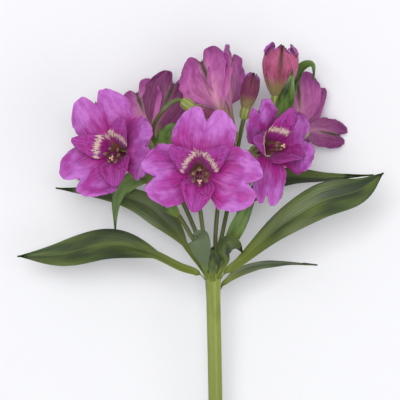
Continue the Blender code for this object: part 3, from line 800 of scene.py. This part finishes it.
stem = {
    "length": 268,
    "radius": 4.1,
    "topRadius": 4.6,
    "crown": ((2.3, 2.4), (1.9, 3.1), (1.2, 3.8), (0.5, 4.3)),
    "taperEnd": 0.06,
    "endHeight": 3.8,
    "drift": 1.6,
    "bow": 1.5,
    "rings": 260,
    "sides": 56,
    "ribs": 7,
    "ribDepth": 0.03,
}
stemScars = {"scarStart": 96 * mm, "scarGap": 29 * mm, "scarHeight": 0.45 * mm}
pithEnds = ((0.3, 0.93), (-0.12, 0.90))  # how far up the stem, and how wide against it
stemSlope = (whorlHeight - stem["endHeight"]) / stem["length"]


def stemLine():
    # From the crown that the rays grow out of, a height and a radius at each ring, to the cut end
    line = [(fromWhorl((0, height, whorlHeight)), radius * mm) for height, radius in stem["crown"]]
    for t in shares(stem["rings"]):
        drift = stem["drift"] * t + stem["bow"] * math.sin(math.pi * t)
        height = mix(whorlHeight, stem["endHeight"], t)
        radius = mix(stem["topRadius"], stem["radius"], smoothStep(t, 0, stem["taperEnd"]))
        line.append((fromWhorl((drift, -stem["length"] * t, height)), radius * mm))
    return line


def pithLine():
    # A thin slice at the cut end, a little smaller than the stem, where the pale pith shows
    end = stemLine()[-1][0]
    return [(end + upStem * up * mm, share * stem["radius"] * mm) for up, share in pithEnds]


skin = growStalk([stemLine()], "stem", {**stem, **stemScars})
pith = growStalk([pithLine()], "pith", stem)
makePiece("stem", "bare", [skin, pith], "stem")
print("stem made")


# Leaves and bracts. A route is the midrib beyond the root, and a root is its side of the stem, in
# degrees, and how far below the whorl it is. "petiole" is the half width of a leaf's own stalk, and
# "stalk" that stalk's share of the length. A "widest" over 1 moves the widest place tipward.
# "roll" turns the blade about its midrib, at the root and at the tip, in degrees.

bladeRule = {
    "rootHalfWidth": 1.4,
    "tipHalfWidth": 0.35,
    "power": 1.1,
    "turnSpan": (0.02, 0.16),
    "leaving": 0.45,
    "places": 90,
    "arch": 0.12,
    "ripple": 0.05,
    "rippleRate": 17,
    "under": 0,
    "veinHeight": 0.018 * mm,
    "thickness": 0.45 * mm,
}
leafRule = {
    **bladeRule, "pointsAcross": 45, "pointsAlong": 81, "veins": veinCounts["leaf"],
    "petiole": 1.6, "fold": 0.2, "sunk": 0.1,
}
bractRule = {
    **bladeRule, "pointsAcross": 25, "pointsAlong": 45, "veins": veinCounts["bract"],
    "petiole": 1.4, "stalk": 0.05, "widest": 0.8, "roll": (0, 0), "fold": 0.25,
}
toneSteps = {"leaf": 0.37, "bract": 0.21}
leaves = {
    "long_left": {
        "root": (180, 3.5),
        "route": ((-20, 4.5, 46), (-39.5, 13.5, 47), (-62, 17, 44), (-90, 11, 37), (-114.5, 9.9, 31)),
        "halfWidth": 8.4, "petiole": 2.7, "stalk": 0.34, "widest": 0.9, "roll": (40, 16), "fold": 0.22,
    },
    "wide_right": {
        "root": (8, 3),
        "route": ((17, 8.5, 48), (38.9, 27.8, 53), (62, 42, 54), (84, 48.5, 51), (99, 58.6, 45)),
        "halfWidth": 9.2, "petiole": 2.6, "stalk": 0.14, "widest": 1.25, "roll": (-30, -10),
    },
    "hidden_left": {
        "root": (218, 3),
        "route": ((-16.2, 16.8, 34), (-29, 32, 30), (-51, 44.5, 28), (-92.5, 49.9, 24)),
        "halfWidth": 6.6, "petiole": 1.8, "stalk": 0.26, "widest": 0.9, "roll": (10, 15),
    },
    "hidden_right": {
        "root": (322, 3),
        "route": ((12, 22, 30), (20.5, 40, 26), (31, 52.5, 24), (46, 57, 26),
                  (66, 56.5, 31), (94, 57.5, 34)),
        "halfWidth": 4.6, "stalk": 0.36, "widest": 0.62, "roll": (-10, 10),
    },
    "thin_right": {
        "root": (345, 9),
        "route": ((13, 0.2, 41), (24, 5, 46.5), (40, 6.8, 51), (60.3, 5.2, 51)),
        "halfWidth": 4.4, "stalk": 0.10, "widest": 0.8, "roll": (50, 72), "fold": 0.3,
    },
    "curled_front": {
        "root": (50, 3),
        "route": ((7, 7.2, 52), (5.6, 13, 58.2), (8, 18, 62.8), (13.6, 17.4, 62.2), (17, 12.6, 57.6)),
        "halfWidth": 3.9, "petiole": 1.5, "stalk": 0.18, "widest": 0.95, "roll": (-24, -6), "fold": -0.2,
    },
    "pale_front": {
        "root": (138, 3),
        "route": ((-5.2, 7, 55), (-6.8, 13.5, 60.4), (-7.8, 19.6, 62.5), (-8.6, 22, 59.5),
                  (-9, 21.4, 56)),
        "halfWidth": 5.8, "stalk": 0.10, "widest": 1.15, "roll": (-16, -20), "under": 1,
    },
    "channelled_front": {
        "root": (92, 4),
        "route": ((-0.3, 8, 51.2), (-0.4, 16, 52.4)),
        "halfWidth": 3.4, "petiole": 1.4, "stalk": 0.12, "widest": 1.1, "roll": (0, 0), "fold": 0.4,
    },
}


def bladeHalfWidth(shape, u):
    stalk = mix(shape["rootHalfWidth"], shape["petiole"], smoothStep(u, *shape["turnSpan"]))
    t = (u - shape["stalk"]) / (1 - shape["stalk"])
    if t <= 0:
        return stalk
    swell = shape["halfWidth"] * math.sin(math.pi * t ** shape["widest"]) ** shape["power"]
    return max(shape["tipHalfWidth"], stalk * (1 - t) + swell)


def bladeLine(shape, places, rootFace=None):
    # The midrib with its half width, and the tilt that turns the blade from lying level
    last = len(places) - 1
    line = []
    for i, place in enumerate(places):
        u = i / last
        tangent = (places[min(i + 1, last)] - places[max(i - 1, 0)]).normalized()
        level = (Vector((0, 0, 1)) - tangent * tangent.z).normalized()
        face = Matrix.Rotation(math.radians(mix(*shape["roll"], u)), 3, tangent) @ level
        if rootFace:
            face = rootFace.lerp(face, smoothStep(u, *shape["turnSpan"]))
            face = (face - tangent * face.dot(tangent)).normalized()
        tilt = math.atan2(tangent.dot(level.cross(face)), level.dot(face))
        if line:
            tilt += 2 * math.pi * round((line[-1][2] - tilt) / (2 * math.pi))
        line.append((place, bladeHalfWidth(shape, u) * mm, tilt))
    return line


def stemAcross(angle):  # a direction square to the stem: 0 points right and 90 up
    turn = math.radians(angle)
    return Vector((math.cos(turn), 0, math.sin(turn)))


def makeLeaf(name, leaf, number):
    leaf = {**leafRule, **leaf, "tone": toneSteps["leaf"] * number, "finish": finishes["leaf"]}
    angle, drop = leaf["root"]
    outward = stemAcross(angle)
    root = outward * (stem["topRadius"] - leaf["sunk"])
    root += Vector((0, -drop, whorlHeight - stemSlope * drop))
    leaving = (upStem + outward * leaf["leaving"]).normalized()
    places = [fromWhorl(p) for p in smoothRoute([root, *leaf["route"]], leaf["places"], leaving)]
    rootFace = outward if outward.z > -0.2 else -outward  # a leaf from under the stem faces it
    mesh = growOnPath(leafTree, bladeLine(leaf, places, rootFace), leaf)
    makePiece("leaf", name, [mesh], "leaf_" + name)


def growBract(bract, number):
    tone = toneSteps["bract"] * number + 0.1
    bract = {**bractRule, **bract, "tone": tone, "finish": finishes["bract"]}
    places = [fromWhorl(p) for p in smoothRoute(bract["route"], bract["places"])]
    return growOnPath(leafTree, bladeLine(bract, places), bract)


for number, (name, leaf) in enumerate(leaves.items()):
    makeLeaf(name, leaf, number)
print("leaves made:", len(leaves))


# Flowers: where each bloom and bud stands. The axis points out of its tube. Angles go round it, and
# 90 is the side nearest "top". "open" adds to how far all tepals lean out, and the leans to each of
# the outer and inner ones, in degrees. "outerWidths" are shares of the outer tepals' usual width.

blooms = {
    "front": {
        "base": (-8.1, 58.4, 72), "axis": (0.01, 0.03, 1), "top": (0, 1, 0),
        "outer": (82, 188, 345), "outerLeans": (-4, -24, -8),
        "inner": (144, 39, 262), "innerLeans": (-17, -19, 0),
    },
    "left": {
        "base": (-50.3, 68.6, 46.5), "axis": (-0.26, 0.10, 0.94), "top": (-0.42, 0.90, 0),
        "outer": (86, 203, 338), "outerLeans": (-8, -30, -34),
        "inner": (144, 34, 262), "innerLeans": (-18, -20, -4),
    },
    "right": {
        "base": (25.5, 71, 46.5), "axis": (0.38, 0.12, 0.96), "top": (-0.55, 0.84, 0),
        "outer": (98, 226, 333), "outerLeans": (-8, 28, -42), "outerWidths": (0.68, 0.6, 1),
        "inner": (146, 44, 280), "innerLeans": (10, 10, -10), "open": -30,
    },
    "top": {
        "base": (9.5, 83, 57), "axis": (-0.24, 0.84, -0.48), "top": (0, 0.3, 1),
        "outer": (57, 163, 285), "outerLeans": (-27, -15, -26),
        "inner": (108, 224, 346), "open": -50,
    },
    "back_left": {
        "base": (-36, 75, 44.4), "axis": (0.06, 0.42, -0.80), "top": (0, 0.7, 0.7),
        "outer": (46, 114, 250), "outerLeans": (-12, 14, -10), "outerWidths": (0.9, 0.8, 0.9),
        "inner": (170, 205, 320), "innerLeans": (16, 0, 0), "open": -42,
    },
    "back_right": {
        "base": (51.5, 82, 43.8), "axis": (0.02, 0.20, -0.94), "top": (0, 1, 0),
        "outer": (86, 200, 325), "outerLeans": (0, 0, -10), "outerWidths": (0.74, 0.5, 0.74),
        "inner": (126, 262, 30), "innerLeans": (32, 0, 0), "open": -30,
    },
}
buds = {
    "tall": {"base": (37.5, 103.2, 52), "axis": (0.08, 0.99, 0.12), "length": 30, "radius": 10.3},
    "dark": {"base": (19.1, 95.7, 38), "axis": (0.22, 0.97, -0.05), "length": 22, "radius": 5.2,
             "ovary": 0.75},
    "nodding": {"base": (-12.5, 96, 60), "axis": (0.80, -0.58, 0.05), "length": 19, "radius": 5.6,
                "ovary": 0.85},
}
flowers = {**blooms, **buds}
budTop = (0, 0.3, 1)


def flowerMatrix(flower):
    # From a flower's own frame, in millimetres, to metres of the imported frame
    along = Vector(flower["axis"]).normalized()
    top = Vector(flower.get("top", budTop))
    up = (top - along * top.dot(along)).normalized()
    right = up.cross(along)
    turn = Matrix((right, up, along)).transposed().to_4x4()
    return Matrix.Translation(fromWhorl(flower["base"])) @ turn @ Matrix.Scale(mm, 4)


def makeFlowerPiece(slot, name, meshes):
    for mesh in meshes:
        mesh.transform(flowerMatrix(flowers[name]))
    makePiece(slot, name, meshes, slot + "_" + name)


# Rays: stalks, ovaries and bracts. "start" is the side of the stem, in degrees. A stalk has the name
# of the flower that it carries, and the second one of a ray forks off the first.

ray = {
    "radius": 1.25,
    "ringRadius": 3.1,
    "sunk": 1.5,
    "footUp": 0.3,
    "inOvary": 0.8,
    "points": 60,
    "sides": 20,
    "ribs": 5,
    "ribDepth": 0.06,
}
ovary = {
    "length": 8.5,
    "radius": 3.9,
    "neck": 0.42,
    "swell": 0.56,
    "profile": (0.12, 0.74),
    "footTaper": 0.5,
    "footEnd": 0.14,
    "topTaper": 0.12,
    "topStart": 0.9,
    "rise": 1.2,
    "rings": 28,
    "sides": 72,
    "ribs": 6,
    "ribDepth": 0.09,
}
rays = {
    "front": {
        "start": 135,
        "stalks": {"front": ((-5.5, 22, 49), (-8, 42, 51), (-8.4, 53, 56))},
    },
    "left": {
        "start": 180,
        "stalks": {"left": ((-14.5, 25, 43), (-30, 48, 37), (-42, 64, 34))},
        "bracts": {
            "folded": {"halfWidth": 4.2, "route": (
                (-30, 48, 37), (-39, 56.5, 39.5), (-49, 53, 40), (-56, 43, 39.5), (-57, 24, 39),
            )},
            "short": {"halfWidth": 2.6, "route": (
                (-20, 33.5, 42), (-26, 40, 46), (-31, 44.5, 47),
            )},
        },
    },
    "right": {
        "start": 0,
        "stalks": {
            "right": ((12, 25, 45), (18, 48, 38), (22.5, 62, 33.5)),
            "tall": ((18, 48, 38), (28.5, 66, 34), (33.5, 78, 37), (36, 88, 44)),
        },
        "bracts": {
            "narrow": {"halfWidth": 3.6, "route": (
                (6.8, 12, 45.4), (12.5, 24, 49.5), (19.5, 38, 51.5), (27, 54, 50),
            )},
            "inFront": {"halfWidth": 4.2, "route": (
                (36, 88, 44), (40, 95, 56), (43, 105, 65), (45.5, 117, 67),
            )},
            "hooked": {"halfWidth": 2, "route": (
                (36, 88, 44), (44, 103, 38), (50.5, 119, 41), (57.5, 121.5, 46), (58.5, 112.5, 47),
            )},
        },
    },
    "top": {
        "start": 60,
        "stalks": {"top": ((1.5, 25, 47), (4.5, 50, 51), (10, 68, 59.5))},
    },
    "back_left": {
        "start": 225,
        "stalks": {
            "back_left": ((-10, 24, 38), (-20, 46, 36), (-31, 62, 42.5)),
            "nodding": ((-20, 46, 36), (-24, 64, 50), (-35, 80, 56), (-29, 94, 61)),
        },
        "bracts": {
            "beside": {"halfWidth": 4.4, "route": (
                (-24, 64, 50), (-28, 75, 58), (-24.5, 83, 61), (-19.5, 87.5, 61.5),
            )},
        },
    },
    "back_right": {
        "start": 315,
        "stalks": {"back_right": ((10, 24, 38), (22, 47, 32), (38, 63, 35))},
    },
    "dark": {
        "start": 270,
        "stalks": {"dark": ((5.5, 24, 40), (11, 52, 37), (14.5, 74, 36))},
    },
}


def stalkLine(flower, foot, route):
    # From its foot in the stem's crown, or from where it forks, to the foot of the flower's ovary
    along = Vector(flower["axis"]).normalized()
    depth = ovary["length"] * flower.get("ovary", 1) - ray["inOvary"]
    end = Vector(flower["base"]) - along * depth
    if foot:
        places = smoothRoute([foot, *route, end], ray["points"], upStem, along)
        places.insert(0, foot - upStem * ray["sunk"])
    else:
        places = smoothRoute([*route, end], ray["points"], None, along)
    return [(fromWhorl(place), ray["radius"] * mm) for place in places]


def ovaryLine(flower):
    # From the stalk up into the receptacle under the tepals
    scale = flower.get("ovary", 1)
    turn = flowerMatrix(flower)
    line = []
    for t in shares(ovary["rings"]):
        width = ovary["neck"] + ovary["swell"] * math.sin(math.pi * mix(*ovary["profile"], t))
        width *= (1 - ovary["footTaper"] * smoothStep(t, ovary["footEnd"], 0)
                  - ovary["topTaper"] * smoothStep(t, ovary["topStart"], 1))
        height = -ovary["length"] * scale * (1 - t) + ovary["rise"] * t
        line.append((turn @ Vector((0, 0, height)), ovary["radius"] * scale * width * mm))
    return line


def makeRay(name, plan):
    foot = stemAcross(plan["start"]) * ray["ringRadius"] + Vector((0, ray["footUp"], whorlHeight))
    foot.y += stemSlope * (whorlHeight - foot.z)
    stalkLines = []
    ovaryLines = []
    for target, route in plan["stalks"].items():
        stalkLines.append(stalkLine(flowers[target], None if stalkLines else foot, route))
        ovaryLines.append(ovaryLine(flowers[target]))
    meshes = [
        growStalk(stalkLines, "ray", ray),
        growStalk(ovaryLines, "ovary", ovary),
    ]
    for number, bract in enumerate(plan.get("bracts", {}).values()):
        meshes.append(growBract(bract, number))
    makePiece("ray", name, meshes, "ray_" + name)


for name, plan in rays.items():
    makeRay(name, plan)
print("rays made:", len(rays))


# Tepals. The first outer one is the top one, and the last inner one is the lower one.

tepalRule = {
    "thickness": 0.38,
    "foot": 0.6,
    "bendStart": 0.22,
    "bendEnd": 0.55,
    "curlSpan": (0.7, 1.2),
    "overlap": 0,
    "phaseStep": 1.3,
    "steps": 96,
    "pointLength": 2.2,
    "pointRadius": 0.42,
    "pointTaper": 0.75,
}
outerTepal = {
    **tepalRule,
    "length": 51, "rootRadius": 3.55, "angles": (7, 84), "flare": (0.26, 0.62), "curl": 14,
    "halfWidth": 18, "rootHalfWidth": 2.9, "widenStart": 0.20, "widenEnd": 0.68,
    "tipStart": 0.7, "tipWidth": 0.94, "notch": 0.13, "notchWidth": 0.18, "corner": 0.20,
    "cornerPower": 3.6, "flareBend": -0.012, "wave": 1, "dome": 1.1, "groove": 0.6,
    "ruffle": 1.9, "frill": 0.06, "pointsAcross": 45, "pointsAlong": 55,
    "kinds": ("top", "outer", "outer"), "widths": (1, 1, 1), "leans": (0, 0, 0),
}
innerTepal = {
    **tepalRule,
    "length": 47, "rootRadius": 2.65, "angles": (6, 60), "flare": (0.34, 0.78), "curl": 30,
    "halfWidth": 7.8, "rootHalfWidth": 1.7, "widenStart": 0.28, "widenEnd": 0.70,
    "tipStart": 0.50, "tipWidth": 0.34, "notch": 0, "notchWidth": 0.2, "corner": 0.05,
    "cornerPower": 2, "flareBend": 0.03, "wave": 0.5, "dome": 0, "groove": 0.3,
    "ruffle": 0.8, "frill": 0.05, "pointsAcross": 31, "pointsAlong": 51,
    "kinds": ("inner", "inner", "lower"), "widths": (1, 1, 1.38), "leans": (0, 0, -3),
}
receptacle = {
    "profile": ((-0.4, 3.5), (0.3, 3.9), (1.2, 4.15), (1.9, 4), (2.1, 3.6)),  # height and radius
    "sides": 48,
    "ribs": 6,
    "ribDepth": 0.03,
}
backPalenessAndShade = {  # how pale the backs are of a bloom's outer and inner tepals: partly their own colour, and partly painted shade, as low values darken the backs of tepals that lie in shade
    "top": {"outer": (0.9, 1, 0.5), "inner": (0.8, 0.8, 0.8)},
    "back_left": {"outer": (1.1, 0.1, 0.2), "inner": (0, 0, 0)},
    "back_right": {"outer": (0.7, 0.3, 0.4), "inner": (0.6, 0.6, 0.6)},
    "others": {"outer": (0.3, 0.3, 0.3), "inner": (0.3, 0.3, 0.3)},
}


def tepalMidline(tepal):
    # Points of the midline in the bloom's frame, at equal steps from root to tip
    low, high = tepal["angles"]
    step = tepal["length"] / tepal["steps"]
    radius = tepal["rootRadius"]
    height = tepal["foot"]
    line = []
    for u in shares(tepal["steps"]):
        line.append((Vector((radius, 0, height)), 1))
        lean = mix(low, high + tepal["opening"], smoothStep(u, *tepal["flare"]))
        lean = math.radians(lean + tepal["curl"] * smoothStep(u, *tepal["curlSpan"]))
        radius += step * math.sin(lean)
        height += step * math.cos(lean)
    return line


def tepalPoint(tepal, midline):
    # The small hard point in a tepal's notch
    reach = int((1 - tepal["notch"]) * (len(midline) - 1)) - 1
    start = midline[reach][0]
    ahead = (start - midline[reach - 2][0]).normalized() * tepal["pointLength"]
    line = []
    for t in (0, 0.4, 0.8, 1):
        line.append((start + ahead * t, tepal["pointRadius"] * (1 - tepal["pointTaper"] * t)))
    return line


def growTepal(tepal, azimuth):
    midline = tepalMidline(tepal)
    meshes = [growOnPath(petalTree, midline, tepal)]
    if tepal["notch"] > 0:
        meshes.append(growStalk([tepalPoint(tepal, midline)], "point", {"sides": 10}))
    for mesh in meshes:
        mesh.transform(Matrix.Rotation(math.radians(azimuth), 4, "Z"))
    return meshes


def makeTepals(name, bloom):
    meshes = [growStalk([onAxis(receptacle["profile"])], "ovary", receptacle)]
    # The backs' paleness, which is partly painted shade on the blooms that lie in shade
    paleAndShaded = backPalenessAndShade.get(name, backPalenessAndShade["others"])
    for ring, shape in (("outer", outerTepal), ("inner", innerTepal)):
        widths = bloom.get(ring + "Widths", shape["widths"])
        leans = bloom.get(ring + "Leans", (0, 0, 0))
        for number, azimuth in enumerate(bloom[ring]):
            phase = shape["phaseStep"] * number + azimuth
            tepal = {
                **shape,
                "halfWidth": shape["halfWidth"] * widths[number],
                "opening": bloom.get("open", 0) + leans[number] + shape["leans"][number],
                "kind": tepalKinds[shape["kinds"][number]],
                "pale": paleAndShaded[ring][number],
                "phase": phase,
                "tone": math.sin(phase) * 0.5 + 0.5,
                "finish": finishes["petal"],
            }
            meshes += growTepal(tepal, azimuth)
    makeFlowerPiece("tepals", name, meshes)


for name, bloom in blooms.items():
    makeTepals(name, bloom)
print("tepals made:", len(blooms), "blooms")


# Stamens and styles

stamen = {
    "count": 6,
    "radius": 0.36,
    "ring": 1.05,
    "foot": 2.3,
    "length": 27.5,
    "step": 2,
    "spread": 4.4,
    "droop": 4.2,
    "droopPower": 3.5,
    "leastSpreading": 0.3,
    "closedOpening": -38,
    "points": 20,
    "footProfile": ((1.6, 1.9), (2.8, 1.8), (3.2, 1.3)),  # height and radius
}
anther = {
    "length": 3.9,
    "radius": 1.05,
    "held": 0.86,
    "bluntness": 0.8,
    "steps": 12,
    "sides": 18,
    "ribs": 2,
    "ribDepth": 0.16,
}
pollen = {"density": 2.2, "grain": 0.10, "firstSeed": 40}
style = {
    "droop": 6.3,
    "extraLength": 5,
    "radius": 0.42,
    "arms": 3,
    "armTurn": 0.5,
    "armLength": 2.4,
    "armSpread": 1.3,
    "armSteps": 6,
}


def filamentPlaces(root, tip):
    places = []
    for t in shares(stamen["points"]):
        off = Vector((tip.x - root.x, tip.y - root.y, 0)) * t ** stamen["droopPower"]
        places.append(root + off + Vector((0, 0, (tip - root).z * t)))
    return places


def antherLine(places):
    tip = places[-1]
    back = (places[-2] - tip).normalized()
    line = []
    for t in shares(anther["steps"]):
        roundness = math.sqrt(max(0.02, 1 - (2 * t - 1) ** 2)) ** anther["bluntness"]
        place = tip + back * anther["length"] * (anther["held"] - t)
        line.append((place, anther["radius"] * roundness))
    return line


def stigmaLines(places):
    tip = places[-1]
    lines = []
    for number in range(style["arms"]):
        turn = 2 * math.pi * number / style["arms"] + style["armTurn"]
        away = Vector((math.cos(turn), math.sin(turn), 0)) * style["armSpread"]
        line = []
        for t in shares(style["armSteps"]):
            place = tip + away * t * t + Vector((0, 0, style["armLength"] * (t - 0.3 * t * t)))
            line.append((place, style["radius"] * (0.8 + 0.5 * t)))
        lines.append(line)
    return lines


def makeStamens(name, bloom, seed):
    spreading = max(stamen["leastSpreading"], 1 - bloom.get("open", 0) / stamen["closedOpening"])
    root = Vector((0, 0, stamen["foot"]))
    filaments = []
    anthers = []
    for number in range(stamen["count"]):
        turn = 2 * math.pi * (number + 0.5) / stamen["count"]
        around = Vector((math.cos(turn), math.sin(turn), 0))
        length = stamen["length"] + stamen["step"] * (number % 3)
        tip = root + around * mix(stamen["ring"], stamen["spread"], spreading)
        tip += Vector((0, -stamen["droop"] * spreading, length))
        places = filamentPlaces(root + around * stamen["ring"], tip)
        filaments.append([(place, stamen["radius"]) for place in places])
        anthers.append(antherLine(places))
    styleTip = root + Vector((0, -style["droop"] * spreading, stamen["length"] + style["extraLength"]))
    stylePlaces = filamentPlaces(root, styleTip)
    filaments.append([(place, style["radius"]) for place in stylePlaces])
    antherMesh = growStalk(anthers, "anther", anther)
    dust = grow(pollenTree, {**pollen, "seed": seed, "finish": finishes["pollen"]}, antherMesh.copy())
    makeFlowerPiece("stamens", name, [
        growStalk(filaments, "filament", {"sides": 10}),
        growStalk([onAxis(stamen["footProfile"])], "filament", {"sides": 24}),
        growStalk(stigmaLines(stylePlaces), "stigma", {"sides": 10}),
        antherMesh,
        dust,
    ])


for number, (name, bloom) in enumerate(blooms.items()):
    makeStamens(name, bloom, pollen["firstSeed"] + number)
print("stamens made:", len(blooms), "blooms")


# Buds: three outer tepals wrapped over three inner ones, whose tips stand loose on the tall bud

budRule = {
    "root": 0.30,
    "profileStart": 0.02,
    "profileEnd": 0.88,
    "fullness": 0.8,
    "taperStart": 0.85,
    "taper": 0.40,
    "steps": 60,
    "wrap": 1.25,
    "rootWrap": 0.5,
    "innerShare": 0.88,
    "thickness": 0.38,
    # The bend would only open past the tip, so that the tepals stay wrapped
    "pointsAcross": 41, "pointsAlong": 45, "widenStart": 0, "widenEnd": 0.55, "tipStart": 0.62,
    "tipWidth": 0.22, "notch": 0, "notchWidth": 0.2, "corner": 0.12, "cornerPower": 2,
    "flareBend": 0.1, "bendStart": 2, "bendEnd": 3, "wave": 0, "dome": 0, "groove": -0.35,
    "overlap": 0.5, "ruffle": 0.8, "frill": 0.05, "kind": tepalKinds["outer"],
}
# The low pale values of the dark and nodding buds are partly their own darker colour and partly painted
# shade, as they lie in shade
budLooks = {
    "tall": {"profileEnd": 0.76, "taper": 0.30, "ruffle": 1.7, "frill": 0.09, "pale": 1},
    "dark": {"pale": 0.1},
    "nodding": {"pale": 0.2},
}


def budMidline(bud, share):
    line = []
    for t in shares(bud["steps"]):
        swell = math.sin(math.pi * mix(bud["profileStart"], bud["profileEnd"], t))
        width = bud["radius"] * mix(bud["root"], 1, swell ** bud["fullness"])
        width *= 1 - bud["taper"] * max(0, (t - bud["taperStart"]) / (1 - bud["taperStart"]))
        line.append((Vector((width * share, 0, t * bud["length"] * mix(0.5, 1, share))), 1))
    return line


def growBudTepal(bud, azimuth, share, tone):
    mesh = growOnPath(petalTree, budMidline(bud, share), {
        **bud,
        "halfWidth": bud["radius"] * bud["wrap"],
        "rootHalfWidth": bud["radius"] * bud["rootWrap"],
        "phase": tone * 9,
        "tone": tone,
        "finish": finishes["budPetal"],
    })
    mesh.transform(Matrix.Rotation(math.radians(azimuth), 4, "Z"))
    return mesh


def makeBud(name, bud):
    bud = {**budRule, **bud, **budLooks[name]}
    meshes = []
    for number in range(3):
        meshes.append(growBudTepal(bud, 120 * number + 90, 1, 0.3 * number + 0.1))
        meshes.append(growBudTepal(bud, 120 * number + 30, bud["innerShare"], 0.3 * number + 0.2))
    makeFlowerPiece("bud", name, meshes)


for name, bud in buds.items():
    makeBud(name, bud)
print("buds made:", len(buds))


# Stage, light and camera

stage = {
    "floorSize": 6,
    "floorPaint": {"Base Color": paint(236, 236, 238), "Roughness": 0.9, "Specular IOR Level": 0.1},
    "sky": {"Color": paint(250, 251, 255), "Strength": 0.51},
}
lamps = {
    "keyLamp": {"place": (-0.16, 0.34, 1.70), "size": 0.8, "power": 17.3},
    "fillLamp": {"place": (0.7, -0.2, 1.3), "size": 1, "power": 4},
}
view = {
    "target": (-7.54, 42.9, 45),
    "distance": 1.455,
    "width": 0.232,
    "sensor": 36,
}


def makeFloor():
    half = stage["floorSize"] / 2
    mesh = bpy.data.meshes.new("floor")
    corners = [(-half, -half, 0), (half, -half, 0), (half, half, 0), (-half, half, 0)]
    mesh.from_pydata(corners, [], [(0, 1, 2, 3)])
    mesh.materials.append(newFinish("floorPaint", stage["floorPaint"])[0])
    floor = linked(bpy.data.objects.new("floor", mesh))


def makeSky():
    world = bpy.data.worlds.new("studio")
    world.use_nodes = True
    for socket, value in stage["sky"].items():
        world.node_tree.nodes["Background"].inputs[socket].default_value = value
    bpy.context.scene.world = world


def makeLamp(name, plan):
    lamp = bpy.data.lights.new(name, "AREA")
    lamp.size = plan["size"]
    lamp.energy = plan["power"]
    holder = linked(bpy.data.objects.new(name, lamp))
    holder.location = plan["place"]
    aim = fromWhorl(view["target"]) - Vector(plan["place"])
    holder.rotation_euler = aim.to_track_quat("-Z", "Y").to_euler()


def makeCamera():
    camera = bpy.data.cameras.new("camera")
    camera.sensor_width = view["sensor"]
    camera.lens = view["sensor"] * view["distance"] / view["width"]
    camera.clip_start = 0.01
    holder = linked(bpy.data.objects.new("camera", camera))
    holder.location = fromWhorl(view["target"]) + Vector((0, 0, view["distance"]))
    bpy.context.scene.camera = holder


makeFloor()
makeSky()
for name, plan in lamps.items():
    makeLamp(name, plan)
makeCamera()
bpy.context.scene.view_settings.view_transform = "Standard"
print("stage made")
